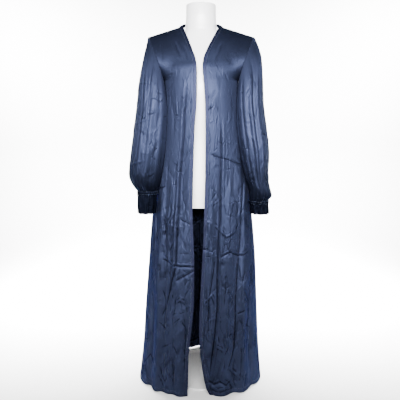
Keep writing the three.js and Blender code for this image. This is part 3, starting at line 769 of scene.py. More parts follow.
@dataclass(frozen=True)
class Satin:
    """Slate-blue satin: long floats down the cloth give it a soft gloss that takes the dye's colour."""

    name: str = "slate_satin"
    face: Colour = (0.023, 0.0285, 0.056)
    shade: Colour = (0.018, 0.0225, 0.045)
    roughness: float = 0.58
    gloss: float = 0.87
    chest_gloss: float = 0.09
    spread_across: float = 0.5
    edge_tint: tuple[float, float, float, float] = (0.28, 0.29, 0.34, 1.0)
    # Painted shade below a height: the base colour darkens from the top height to the bottom one.
    painted_shade_top: float = -1.0
    painted_shade_bottom: float = -2.0
    painted_shade_tone: float = 0.25
    crumple_depth: float = 0.0014
    # Painted shade in the creases: the share by which their lines darken the base colour.
    crease_painted_shade: float = 0.3
    # Painted shade in the cloth's troughs: where it starts and is full, and its near-black colour.
    painted_trough_start: float = 0.06
    painted_trough_end: float = 0.5
    painted_trough_shade: Colour = (0.004, 0.005, 0.011)
    floats_per_metre: float = 900.0
    float_depth: float = 0.00003
    slub_depth: float = 0.00008
    crinkle_depth: float = 0.0005

    def material(self) -> Finish:
        """Makes the material: uneven dye, streaks along the warp, creases, and threads as fine relief.

        The creases are faint above the bust and deepest low on the skirt. Creases and hollows get painted
        shade in the base colour, and so does the cloth below a height when one is set above 0.
        """
        desk = NodeDesk(self.name)
        cloud = desk.noise(desk.place("Object"), 7.0)
        streak = desk.noise(desk.place("UV", (420.0, 9.0, 1.0)), 1.0, 2.0)
        slub = desk.noise(desk.place("UV", (1300.0, 60.0, 1.0)), 1.0, 2.0)
        crinkle = desk.noise(desk.place("Object", (1.0, 1.0, 0.55)), 95.0)
        threads = desk.wave(desk.place("UV"), "X", self.floats_per_metre * 2 * math.pi / 20, 1.5)
        height = desk.wire("ShaderNodeSeparateXYZ", 2, None, {0: desk.place("Object")})
        crease_amount = desk.step(height, 1.3, 1.16, 0.15, 0.8) + desk.step(height, 0.95, 0.4, 0.0, 0.8)
        long_creases = self.creases(desk, (1.0, 1.0, 0.16), 24.0, 0.09, 0.5)
        short_creases = self.creases(desk, (1.0, 1.0, 0.7), 26.0, 0.07, 0.42)
        fine_creases = self.creases(desk, (1.0, 1.0, 0.34), 62.0, 0.14, 0.46)
        base_colour = desk.blend(cloud * 0.55 + streak * 0.45, self.shade, self.face)
        # Painted shade: the crease lines are darkened in the base colour.
        hollow = (1.0 - long_creases * short_creases) * crease_amount * self.crease_painted_shade
        base_colour = desk.blend(hollow, base_colour, tuple(0.3 * part for part in self.shade))
        # Painted shade: the mesh's troughs, from the dent attribute, are darkened in the base colour.
        dent = desk.wire("ShaderNodeAttribute", "Fac", {"attribute_name": "dent"})
        base_colour = desk.blend(desk.step(dent, self.painted_trough_start, self.painted_trough_end, 0.0, 0.75), base_colour, self.painted_trough_shade)
        # Painted shade: the cloth darkens below a height, for the turned-under bottoms of the sleeves.
        if self.painted_shade_top > 0:
            share = desk.step(height, self.painted_shade_bottom, self.painted_shade_top, 0.0, 1.0)
            base_colour = desk.blend(share, tuple(self.painted_shade_tone * part for part in self.shade), base_colour)
        smoother = desk.step(height, 1.19, 1.24, 0.0, self.chest_gloss)
        relief = None
        for shape, depth in (
            (long_creases * crease_amount, self.crumple_depth), (short_creases * crease_amount, self.crumple_depth * 0.9),
            ((1.0 - fine_creases) * crease_amount, self.crumple_depth * 0.55), (crinkle, self.crinkle_depth),
            (slub, self.slub_depth), (threads, self.float_depth),
        ):
            relief = desk.bump(shape, depth, relief)
        return desk.finish({
            "Base Color": base_colour, "Roughness": (self.roughness - 0.07) + streak * 0.1 + cloud * 0.08 - smoother,
            "Normal": relief, "Metallic": self.gloss, "Specular IOR Level": 0.0,
            "Specular Tint": self.edge_tint, "Anisotropic": self.spread_across,
        })

    def creases(self, desk: NodeDesk, stretch: Colour, scale: float, width: float, amount: float) -> Wire:
        """Straight, sharp creases with smooth cloth between: edges of drawn-out cells, cut off at a width.

        The cells are bent a little by a noise, and a second noise lets the creases end here and there.

        Args:
            desk: the material's nodes.
            stretch: factors for X, Y and Z, lower along the creases.
            scale: cells in a metre.
            width: half width of a crease, as a share of a cell.
            amount: share of the cloth that has them.

        Returns:
            The height: 1 on smooth cloth, down to 0 in a crease.
        """
        bent = desk.bend(desk.place("Object", stretch), 9.0, 0.035)
        settings = {"feature": "DISTANCE_TO_EDGE"}
        edge = desk.wire("ShaderNodeTexVoronoi", "Distance", settings, {"Vector": bent, "Scale": scale})
        there = desk.noise(desk.place("Object", (1.0, 1.0, 0.6)), 16.0 + scale * 0.13, 1.0)
        shown = desk.step(there, 0.96 - amount, 1.06 - amount, 0.05, 1.0)
        return 1.0 - (1.0 - edge.at_most(width) / width) * shown


@dataclass(frozen=True)
class Thread:
    """Sewing thread in the colour of the cloth, a little lighter, with a fine twist."""

    name: str = "sewing_thread"
    colour: Colour = (0.04, 0.055, 0.1)
    roughness: float = 0.42

    def material(self) -> Finish:
        """Makes the material: a twist as slanted bands, and an uneven dye."""
        desk = NodeDesk(self.name)
        place = desk.place("Object")
        cloud = desk.noise(place, 180.0)
        darker = tuple(0.72 * part for part in self.colour)
        return desk.finish({
            "Base Color": desk.blend(cloud, darker, self.colour),
            "Roughness": self.roughness - 0.06 + cloud * 0.12,
            "Normal": desk.bump(desk.wave(place, "DIAGONAL", 700.0), 0.00005),
        })


@dataclass(frozen=True)
class SmoothShell:
    """A moulded or painted hard surface with a faint texture and slight unevenness of tone."""

    name: str
    colour: Colour
    tint: Colour
    roughness: float
    grain: float
    grain_depth: float
    metallic: float = 0.0
    coat: float = 0.0

    def material(self) -> Finish:
        """Makes the material: a broad change of tone, a fine speckle in the gloss, and a grain as relief."""
        desk = NodeDesk(self.name)
        place = desk.place("Object")
        cloud, grain = desk.noise(place, 5.0), desk.noise(place, self.grain, 4.0)
        return desk.finish({
            "Base Color": desk.blend(cloud * 0.7 + grain * 0.3, self.tint, self.colour),
            "Roughness": self.roughness - 0.06 + cloud * 0.07 + grain * 0.05,
            "Normal": desk.bump(grain, self.grain_depth), "Metallic": self.metallic, "Coat Weight": self.coat,
            "Coat Roughness": 0.2,
        })


@dataclass
class GownBody:
    """Fronts, back, front bands and neck band, cut from one outline so that their seams meet."""

    cloth: float = 1.4
    band_cloth: float = 2.2
    band_width: float = 13.0
    band_overlap: float = 0.8
    hem_height: float = 4.0
    hem_turn: float = 16.0
    shoulder_neck: Place = (70.0, 0.0, 1408.0)
    shoulder_tip: Place = (199.0, 0.0, 1369.0)
    nape: Pair = (74.0, 1426.0)
    underarm: Pair = (141.0, 1205.0)
    armhole_depth: float = 64.0
    armhole_round: float = 1.3
    armhole_low: float = 1.4
    armhole_share: float = 6 / 21
    row_turn: Pair = (34.0, 90.0)
    row_late: float = 2.65
    neck_share: float = 0.46
    bust_rise: float = 9.0
    bust_middle: Pair = (72.0, 1200.0)
    bust_spread: Pair = (42.0, 75.0)
    lean_height: float = 30.0
    lean_depth: float = 3.0
    front_columns: int = 130
    back_columns: int = 150
    armhole_rows: int = 54
    skirt_rows: int = 264
    front_cut: Pair = (0.36, 1.42)
    back_cut: Pair = (0.64, 1.44)
    cut_share: float = 0.72
    band_length: float = 1.47
    neck_band_length: float = 0.26
    outline: Outline = Outline("right left back seam", [
        (0, 256, 250, 208, -28), (160, 238, 238, 186, -20), (320, 227, 230, 165, -14),
        (510, 211, 221, 144, -4), (700, 193, 203, 126, 0), (740, 181, 198, 122, 0), (790, 173, 191, 118, 0),
        (841, 166, 182, 113, 0), (924, 153, 164, 106, 0), (1020, 143, 151, 102, 0), (1130, 139, 143, 104, 0),
        (1205, 141, 141, 108, 0), (1300, 150, 150, 104, 0), (1380, 160, 160, 92, 0), (1436, 170, 170, 78, 0),
    ])
    edges: Outline = Outline("right left y", [
        (0, -52, 36, -194), (30, -51, 20, -188), (149, -48, -1, -170), (248, -38, -8, -158),
        (374, -27, -4, -144), (520, -26, 4, -135), (725, -32, 12, -127), (840, -30, 15, -123),
        (1020, -24, 16, -121), (1130, -16, 14, -120), (1200, -15, 9, -115), (1250, -16, 5, -108),
        (1281, -21, 9, -94), (1315, -33, 22, -75), (1346, -44, 37, -56), (1375, -56, 52, -35),
        (1408, -70, 70, 0),
    ])
    bust_line: tuple[Pair, ...] = (
        (-150, 1232), (-138, 1236), (-105, 1247), (-69, 1258), (-20, 1263), (10, 1266), (54, 1267),
        (97, 1266), (120, 1255), (141, 1243), (150, 1238),
    )

    def armhole_point(self, side: Side, turn: Array, facing: Union[int, Array]) -> Array:
        """Armhole seam at a turn of 0 on the shoulder tip and a half turn at the underarm.

        Height falls with the cosine of the turn, the distance from the middle with a power of it, and the
        depth follows its sine; in front, a power of the turn puts the deepest place below the middle.

        Args:
            side: the wearer's side.
            turn: turns in radians.
            facing: -1 in front and 1 at the back.

        Returns:
            Points in millimetres.
        """
        fall = (1 + np.cos(turn)) / 2
        x = side.value * mix(self.underarm[0], self.shoulder_tip[0], fall**self.armhole_round)
        deepening = np.where(np.asarray(facing) < 0, np.pi * (turn / np.pi) ** self.armhole_low, turn)
        y = facing * self.armhole_depth * np.sin(deepening)
        return points(x, y, mix(self.underarm[1], self.shoulder_tip[2], fall))

    def row(self, reach: Number, down: Array) -> tuple[Array, Array]:
        """How far out, and how far forward of its end, a row is, each from 0 to 1.

        A row wraps round the body by an angle that grows from the shoulder to the underarm, mostly near the
        underarm. The two are the sine and the cosine of the reach's part of that angle, scaled.

        Args:
            reach: 0 at the row's start to 1 at its end.
            down: 0 at the shoulder to 1 at the hem.

        Returns:
            Both shares.
        """
        change = clamp01(down / self.armhole_share) ** self.row_late
        wrap = np.radians(mix(self.row_turn[0], self.row_turn[1], change))
        forward = (np.cos(reach * wrap) - np.cos(wrap)) / (1 - np.cos(wrap))
        return np.sin(reach * wrap) / np.sin(wrap), forward

    def skirt_height(self, down: Array) -> Array:
        """Height of a row below the underarm, evenly down to the hem."""
        return mix(self.underarm[1], self.hem_height, (down - self.armhole_share) / (1 - self.armhole_share))

    def row_end(self, side: Side, down: Array, facing: int) -> Array:
        """Outer end of a row: on the armhole above the underarm, on the side seam below it."""
        arm = self.armhole_point(side, np.pi * clamp01(down / self.armhole_share), facing)
        z = self.skirt_height(down)
        seam = points(side.value * self.outline.at(side.word, z), self.outline.at("seam", z), z)
        return np.where((down <= self.armhole_share)[..., None], arm, seam)

    def row_start(self, down: Array, top: float) -> Array:
        """Height at which a row starts, at the front edge or at the middle of the back."""
        upper = mix(top, self.underarm[1], down / self.armhole_share)
        return np.where(down <= self.armhole_share, upper, self.skirt_height(down))

    def bust_step(self, x: Array, z: Array) -> Array:
        """How far the cloth leans back above the bust.

        With r the height above the bust line over the lean's height, it is r times e to the power 1 - r,
        times the lean's depth, and fades towards the armhole.

        Args:
            x: places across.
            z: heights.

        Returns:
            The distances.
        """
        line = np.array(self.bust_line, float)
        above = (z - np.interp(x, line[:, 0], line[:, 1])) / self.lean_height
        r = np.log1p(np.exp(np.clip(above * 14, -40, 40))) / 14
        return self.lean_depth * r * np.exp(1 - r) * smooth((132 - np.abs(x)) / 34)

    def front_surface(self, side: Side, across: Array, down: Array) -> Array:
        """Middle surface of a front.

        Each row is a quarter of an oval, or less, from the front edge to the armhole or side seam. The relief
        is added forwards, fading towards the seam.

        Args:
            side: the wearer's side.
            across: 0 at the front edge to 1 at the seam.
            down: 0 at the shoulder to 1 at the hem.

        Returns:
            Points in millimetres.
        """
        start_z = self.row_start(down, self.shoulder_neck[2])
        end = self.row_end(side, down, -1)
        share, forward = self.row(across, down)
        x = mix(self.edges.at(side.word, start_z), end[..., 0], share)
        z = mix(start_z, end[..., 2], share)
        bust = bell(np.abs(x) - self.bust_middle[0], self.bust_spread[0])
        bust *= self.bust_rise * bell(z - self.bust_middle[1], self.bust_spread[1])
        top = smooth((self.shoulder_tip[2] - 6 - z) / 40)
        relief = relief_at(FRONT_RELIEF[side], x, z) * smooth((1 - across) * 7) * top
        bulge = relief + bust - self.bust_step(x, z) * smooth((1 - across) * 9) * top
        y = mix(end[..., 1], self.edges.at("y", start_z), forward) - bulge * mix(0.55, 1, forward)
        return points(x + side.value * bulge * 0.35 * share, y, z)

    def neck_edge(self, angle: Array, out: Number) -> Array:
        """Edge of the back neck: an oval that is low at the shoulder seams and high at the nape.

        Args:
            angle: 0 at the nape, a quarter turn at each shoulder seam.
            out: distance from the edge towards the back panel.

        Returns:
            Points in millimetres.
        """
        neck_x, neck_y, neck_z = self.shoulder_neck
        rise = 1 - (1 - np.cos(angle)) ** 3
        z = mix(neck_z, self.nape[1], rise) - out * mix(0.32, 0.86, np.cos(angle))
        y = neck_y + (self.nape[0] - neck_y + out * 0.5) * np.cos(angle)
        return points((neck_x + out) * np.sin(angle), y, z)

    def back_arc(self, across: Array, down: Array) -> Array:
        """Back surface before its top edge is shaped: rows like those of the fronts, seam to seam."""
        reach = np.abs(across)
        right, left = (self.row_end(side, down, 1) for side in Side)
        end = np.where((across < 0)[..., None], right, left)
        share, backward = self.row(reach, down)
        x = end[..., 0] * share
        z = mix(self.row_start(down, self.nape[1]), end[..., 2], share**1.5)
        top = smooth((self.shoulder_tip[2] - 30 - z) / 60)
        bulge = relief_at(BACK_RELIEF, x, z) * smooth((1 - reach) * 7) * top
        y = mix(end[..., 1], self.outline.at("back", z), backward) + bulge * mix(0.55, 1, backward)
        return points(x, y, z)

    def back_top(self, across: Array) -> Array:
        """Top edge of the back: shoulder seam, round the neck under the band, shoulder seam."""
        reach, sign = np.abs(across), np.where(across < 0, -1.0, 1.0)
        out = self.band_width - self.band_overlap
        round_neck = self.neck_edge(np.clip(across / self.neck_share, -1, 1) * np.pi / 2, out)
        start = self.neck_edge(sign * np.pi / 2, out)
        tip = points(sign * self.shoulder_tip[0], self.shoulder_tip[1], self.shoulder_tip[2])
        along = clamp01((reach - self.neck_share) / (1 - self.neck_share))[..., None]
        return np.where((reach <= self.neck_share)[..., None], round_neck, mix(start, tip, along))

    def back_surface(self, across: Array, down: Array) -> Array:
        """Middle surface of the back, its arc moved to meet the top edge over the first rows."""
        fade = (1 - smooth(down / self.armhole_share * 2))[..., None]
        return self.back_arc(across, down) + (self.back_top(across) - self.back_arc(across, 0 * down)) * fade

    def band_share(self, side: Side, down: Array, width: float) -> Array:
        """Share of a front row that a width from its edge takes, by the length of the row's first part."""
        part = 0.05
        out, forward = self.row(part, down)
        z = self.row_start(down, self.shoulder_neck[2])
        edge = points(self.edges.at(side.word, z), self.edges.at("y", z), z)
        span = (self.row_end(side, down, -1) - edge) * np.stack([out, 1 - forward, out], axis=-1)
        return width * part / np.linalg.norm(span, axis=-1)

    def ridge(self, side: float) -> Array:
        """Upright direction that both sides of a shoulder seam share."""
        rise = self.shoulder_neck[2] - self.shoulder_tip[2]
        run = self.shoulder_tip[0] - self.shoulder_neck[0]
        return np.array([side * rise, 0.0, run]) / math.hypot(rise, run)

    def rounded(self, share: Array) -> Array:
        """Thickness of a band, which thins towards both long edges."""
        return self.band_cloth * (1 - 0.62 * np.abs(2 * share - 1) ** 6)

    def build(self, satin: Finish, band: Finish, thread: Finish) -> None:
        """Builds and dresses the panels, the bands and their stitching.

        Args:
            satin: finish of the panels.
            band: finish of the bands.
            thread: finish of the stitches.
        """
        upper = np.linspace(0, self.armhole_share, self.armhole_rows, endpoint=False)
        levels = np.concatenate([upper, np.linspace(self.armhole_share, 1, self.skirt_rows)])
        hems = []
        for side in Side:
            across, down = np.meshgrid(np.linspace(0, 1, self.front_columns), levels)
            start = self.band_share(side, down, self.band_width - self.band_overlap)
            grid = self.front_surface(side, mix(start, 1, across), down)
            seam = np.tile(self.ridge(side.value), (self.front_columns, 1))
            skin = Skin(grid, -side.value)
            hems.append(self.build_panel(f"front_{side.word}", skin, seam, self.front_cut, satin))
            self.build_band(side, levels, band, thread)
        across, down = np.meshgrid(np.linspace(-1, 1, self.back_columns), levels)
        at_seam = np.abs(across[0]) > self.neck_share
        seam = np.array([self.ridge(np.sign(u)) * there for u, there in zip(across[0], at_seam)])
        skin = Skin(self.back_surface(across, down), 1)
        hems.append(self.build_panel("back", skin, seam, self.back_cut, satin))
        dress(Stitching().along("hem_stitching", hems), thread, "satin")
        self.build_neck_band(band)

    def build_panel(
        self, node: str, skin: Skin, seam: Array, flat: Pair, satin: Finish
    ) -> tuple[Array, Array]:
        """Panel of cloth, doubled in the turned hem with a soft step where the turn ends.

        Args:
            node: its CAD node.
            skin: its middle surface.
            seam: normals along its top edge.
            flat: width and length of its cut in metres.
            satin: its finish.

        Returns:
            The line of the hem's stitches on the outer face, where the turned cloth ends, and its normals.
        """
        height = skin.grid[..., 2] - skin.grid[-1:, :, 2]
        thickness = self.cloth * (1 + 0.75 * smooth((self.hem_turn - height) / 1.5))
        Cut(node, "satin", "gown_form", flat, share=self.cut_share).sew(satin, skin, thickness, seam)
        row = int(np.argmin(np.abs(height[:, height.shape[1] // 2] - self.hem_turn + 2)))
        normal = skin.normals()[row]
        return skin.grid[row] + normal * self.cloth * 0.86, normal

    def build_band(self, side: Side, levels: Array, band: Finish, thread: Finish) -> None:
        """Band along one front edge, with rounded long edges, and its row of stitches.

        Args:
            side: the wearer's side.
            levels: the rows.
            band: the band's finish.
            thread: the stitches' finish.
        """
        across, down = np.meshgrid(np.linspace(0, 1, 9), levels)
        grid = self.front_surface(side, self.band_share(side, down, self.band_width) * across, down)
        skin, seam = Skin(grid, -side.value), np.tile(self.ridge(side.value), (9, 1))
        flat = (self.band_width * MM, self.band_length)
        cut = Cut(f"front_band_{side.word}", "satin_band", f"gown_front_{side.word}", flat)
        cut.sew(band, skin, self.rounded(across), seam)
        normal = skin.normals()[:, -2]
        line = mix(grid[:, -2], grid[:, -1], 0.15) + normal * self.band_cloth * 0.47
        dress(Stitching().along(f"band_stitching_{side.word}", [(line, normal)]), thread, "satin_band")

    def build_neck_band(self, band: Finish) -> None:
        """Band round the back neck, from one shoulder seam to the other."""
        turn, out = np.meshgrid(np.linspace(-1, 1, 120), np.linspace(0, 1, 9))
        grid = self.neck_edge(turn * (np.pi / 2 - 0.003), out * self.band_width)
        flat = (self.neck_band_length, self.band_width * MM)
        Cut("neck_band", "satin_band", "gown_back", flat).sew(band, Skin(grid, 1), self.rounded(out))


SIZES = ("outer", "inner", "front", "back")


@dataclass
class GownSleeve:
    """One full sleeve, gathered at its head and wrist, with an elastic casing and a ruffle below it.

    A fold round the arm has its angle, the heights of its top and bottom, its half width and its depth.
    """

    side: Side
    body: GownBody
    length: float
    ruffle_end: float
    outline: Outline
    ruffle_outline: Outline
    extra_folds: tuple[tuple[float, ...], ...]
    crumple: Relief
    width: float = 0.5
    cut_share: float = 0.85
    casing_cut: Pair = (0.3, 0.012)
    casing_drop: float = 14.2
    ruffle_cut: float = 0.34
    ruffle_drop: float = 13.6
    half_girth: float = 200.0
    to_body: float = 6.0
    columns: int = 172
    rows: int = 150
    main_folds: tuple[tuple[float, ...], ...] = (
        (40, 1180, 800, 17, -5), (72, 1300, 790, 15, -5), (104, 1120, 800, 15, -5), (232, 1100, 800, 18, -5),
        (278, 1240, 790, 18, -6), (322, 1060, 800, 17, -5),
    )

    @property
    def wrist(self) -> float:
        """Height of the gathered wrist."""
        return float(self.outline.heights[0])

    def ring(self, turn: Array, z: Array, sizes: Sequence[Array]) -> Array:
        """Points of an oval ring round the arm, pushed out where it would lie in the oval of the body.

        Args:
            turn: 0 on the outer side and a quarter turn at the front, in radians.
            z: heights.
            sizes: reach outwards, inwards, forwards and backwards.

        Returns:
            Points in millimetres.
        """
        outer, inner, front, back = sizes
        x = (outer + inner) / 2 + (outer - inner) / 2 * np.cos(turn)
        y = (front + back) / 2 - (back - front) / 2 * np.sin(turn)
        depth = np.where(y < 0, -self.body.edges.at("y", z), self.body.outline.at("back", z))
        inside = 1 - (y / (depth + 4)) ** 2
        clear = self.body.outline.at(self.side.word, z) * np.sqrt(np.maximum(inside, 0)) + self.to_body
        return points(self.side.value * np.maximum(x, np.where(inside <= 0, 0.0, clear)), y, z)

    def pushed(self, grid: Array, turn: Array, out: Array) -> Array:
        """The ring points moved out from the arm by a distance."""
        return grid + points(self.side.value * np.cos(turn) * out, -np.sin(turn) * out, 0.0)

    def pucker(self, turn: Array) -> Array:
        """Gathers at the wrist's seam: a wave of 8 and a finer one of 27."""
        return 1.4 * np.cos(8 * turn) + 0.8 * np.cos(27 * turn + 0.7)

    def surface(self, turns: Array, down: Array) -> Array:
        """Middle surface of the sleeve, from its armhole seam to the wrist.

        It leaves the seam and reaches the hanging ring within the first part of its length. Folds are bells
        round the arm, deeper where they face out.

        Args:
            turns: 0 on the outer side to 1 round the arm by way of the front.
            down: 0 at the seam to 1 at the wrist.

        Returns:
            Points in millimetres.
        """
        turn = turns * 2 * np.pi
        low = (1 - np.cos(turn)) / 2
        facing = np.where(np.sin(turn) >= 0, -1, 1)
        seam = self.body.armhole_point(self.side, np.arccos(np.clip(np.cos(turn), -1, 1)), facing)
        seam[..., 0] += self.side.value * (0.8 + 1.9 * low**2)
        z = mix(seam[..., 2], self.wrist, down)
        hanging = self.ring(turn, z, [self.outline.at(name, z) for name in SIZES])
        folds = relief_at(self.crumple, (turns * 2 - 1) * self.half_girth, z)
        for angle, top, bottom, width, depth in (*self.main_folds, *self.extra_folds):
            apart = np.abs((turns * 360 - angle + 540) % 360 - 180)
            folds += depth * bell(apart, width) * smooth((top - z) / 90) * smooth((z - bottom) / 60 + 0.2)
        gathers = 3.2 * smooth((self.wrist + 90 - z) / 90) * np.cos(turn * 8)
        fine = 1.1 * smooth((self.wrist + 46 - z) / 46) * np.cos(turn * 27 + 0.7)
        facing_body = smooth((0.35 - np.cos(turn)) * 1.2)
        out = (folds + gathers + fine) * (1 - facing_body * 0.8) + np.minimum(folds, 0) * facing_body * 0.5
        out = mix(out * smooth(down * 6), self.pucker(turn), smooth((self.wrist + 12 - z) / 12))
        joined = mix(seam, self.pushed(hanging, turn, out), smooth(down / mix(0.12, 0.3, low))[..., None])
        head = smooth(1 - np.abs(down - 0.035) / 0.035) * (1 - low) ** 2
        return self.pushed(joined, turn, head * 1.1 * np.cos(turn * 34))

    def round_arm(self, rows: int) -> tuple[Array, Array]:
        """Turns round the arm in radians and shares down, as a grid."""
        return np.meshgrid(np.linspace(0, 2 * np.pi, self.columns, endpoint=False), np.linspace(0, 1, rows))

    def build(self, satin: Finish, band: Finish, thread: Finish) -> None:
        """Builds and dresses the sleeve, its casing, its ruffle and the casing's stitches.

        Args:
            satin: finish of the cloth.
            band: finish of the casing and the ruffle.
            thread: finish of the stitches.
        """
        word = self.side.word
        turn, share = self.round_arm(self.rows)
        grid = self.surface(turn / (2 * np.pi), share**1.05)
        flat = (self.width, self.length)
        cut = Cut(f"sleeve_{word}", "satin", "gown_form", flat, "gathered", self.cut_share)
        cut.sew(satin, Skin(grid, self.side.value, True), self.body.cloth)
        self.build_casing(band, thread)
        self.build_ruffle(band)

    def build_casing(self, band: Finish, thread: Finish) -> None:
        """Elastic casing: a low ring, puckered all round, with a row of stitches at each edge."""
        word = self.side.word
        turn, share = self.round_arm(11)
        z = mix(self.wrist + 0.6, self.wrist - self.casing_drop, share)
        ring = self.ring(turn, z, [self.outline.columns[name][0] + 0 * z for name in SIZES])
        skin = Skin(self.pushed(ring, turn, self.pucker(turn) + np.sin(np.pi * share)), self.side.value, True)
        cut = Cut(f"cuff_casing_{word}", "satin_band", f"gown_sleeve_{word}", self.casing_cut, "gathered")
        cut.sew(band, skin, self.body.band_cloth * (1 - 0.5 * np.abs(2 * share - 1) ** 6))
        normal = skin.normals()
        lines = [(skin.grid[row] + normal[row] * self.body.band_cloth * 0.46, normal[row]) for row in (2, 8)]
        dress(Stitching().along(f"casing_stitching_{word}", lines), thread, "satin_band")

    def build_ruffle(self, satin: Finish) -> None:
        """Ruffle below the casing: an oval ring that opens a little, with waves that grow downwards."""
        word = self.side.word
        turn, share = self.round_arm(40)
        top = self.wrist - self.ruffle_drop
        ring = self.ring(turn, mix(top, self.ruffle_end, share), [
            self.ruffle_outline.at(name, 1 - share) for name in SIZES
        ])
        wave = 3.4 * np.cos(8 * turn) * smooth(share * 1.4)
        fine = mix(0.8, 1.2, share) * np.cos(27 * turn + 0.7) + 0.9 * share * np.cos(13 * turn + 2.1)
        grid = self.pushed(ring, turn, wave + mix(self.pucker(turn), fine, smooth(share * 5)))
        thick = self.body.cloth * (1 + 0.5 * smooth((share - 0.88) * 30))
        flat = (self.ruffle_cut, (top - self.ruffle_end) * MM)
        cut = Cut(f"cuff_ruffle_{word}", "satin", f"gown_casing_{word}", flat, "gathered")
        cut.sew(satin, Skin(grid, self.side.value, True), thick)


@dataclass
class DressForm:
    """Smooth limbless form: rings that merge an oval of the trunk with a flatter one of the shoulders."""

    columns: int = 144
    bevel: float = 3.0
    outline: Outline = Outline("half front back shoulder shoulder_depth", [
        (722, 136, 84, 90, 40, 20), (800, 136, 88, 94, 40, 20), (880, 123, 82, 86, 40, 20),
        (980, 108, 76, 76, 40, 20), (1080, 116, 88, 82, 40, 20), (1170, 126, 98, 88, 40, 20),
        (1240, 128, 90, 88, 80, 40), (1300, 124, 72, 80, 144, 48), (1340, 108, 54, 70, 163, 38),
        (1361, 84, 48, 64, 168, 28), (1376, 70, 45, 61, 159, 12), (1391, 59, 43, 60, 108, 6),
        (1398, 57, 43, 60, 70, 5), (1404, 56, 44, 60, 57, 5), (1420, 58, 46, 61, 30, 8),
        (1445, 56.5, 48, 62, 30, 8), (1485, 55.5, 47, 62, 30, 8),
    ])

    def build(self, shell: Finish) -> None:
        """Builds and dresses the form, with both ends rounded at the rim and closed flat.

        A ring's reach in a direction is the sixth root of the sum of the sixth powers of both ovals'.

        Args:
            shell: its finish.
        """
        low, high = self.outline.heights[0], self.outline.heights[-1]
        arc = np.linspace(0, np.pi / 2, 7)
        rise, inset = self.bevel * (1 - np.cos(arc)), self.bevel * (1 - np.sin(arc))
        z = np.concatenate([low + rise, np.linspace(low + 6, high - 6, 190), (high - rise)[::-1]])
        inset = np.concatenate([inset, np.zeros(190), inset[::-1]])
        turn, z = np.meshgrid(np.linspace(0, 2 * np.pi, self.columns, endpoint=False), z)
        half, front, back, across, along = (self.outline.at(name, z) for name in self.outline.columns)
        trunk = 1 / np.hypot(np.cos(turn) / half, np.sin(turn) / np.where(np.sin(turn) < 0, front, back))
        shoulder = 1 / np.hypot(np.cos(turn) / across, np.sin(turn) / along)
        reach = (trunk**6 + shoulder**6) ** (1 / 6) - inset[:, None]
        piece = closed_rings("gown_form", points(reach * np.cos(turn), reach * np.sin(turn), z))
        dress(piece, shell, "form_shell", "dress_form")


@dataclass
class Stand:
    """Post, flange and round base plate under the form."""

    post_radius: float = 8.0
    post_x: float = 22.0
    flange_radius: float = 22.0
    flange_height: float = 14.0
    plate_radius: float = 150.0
    plate_height: float = 6.0
    form_bottom: float = 722.0
    clearance: float = 0.3

    def build(self, post: Finish, plate: Finish) -> None:
        """Builds and dresses the three turned pieces.

        Args:
            post: finish of the post.
            plate: finish of the base plate and its flange.
        """
        r, h = self.plate_radius, self.plate_height
        side = [(0, 0), (r - 2, 0), (r, 2), (r, h - 2), (r - 3, h), (0, h)]
        dress(turned_shape("stand_plate", side, 160, 1.2), plate, "base_paint", "base_plate")
        r, low, high = self.flange_radius, h + self.clearance, h + self.flange_height
        side = [(0, low), (r, low), (r, low + 5), (r - 7, low + 8), (12.5, high - 2), (11, high), (0, high)]
        dress(turned_shape("stand_flange", side, 72, 1.0, self.post_x), plate, "base_paint", "base_flange")
        r, low, high = self.post_radius, high + self.clearance, self.form_bottom - self.clearance
        side = [(0, low), (r, low), (r, high), (0, high)]
        dress(turned_shape("stand_rod", side, 48, 0.6, self.post_x), post, "post_paint", "stand_post")


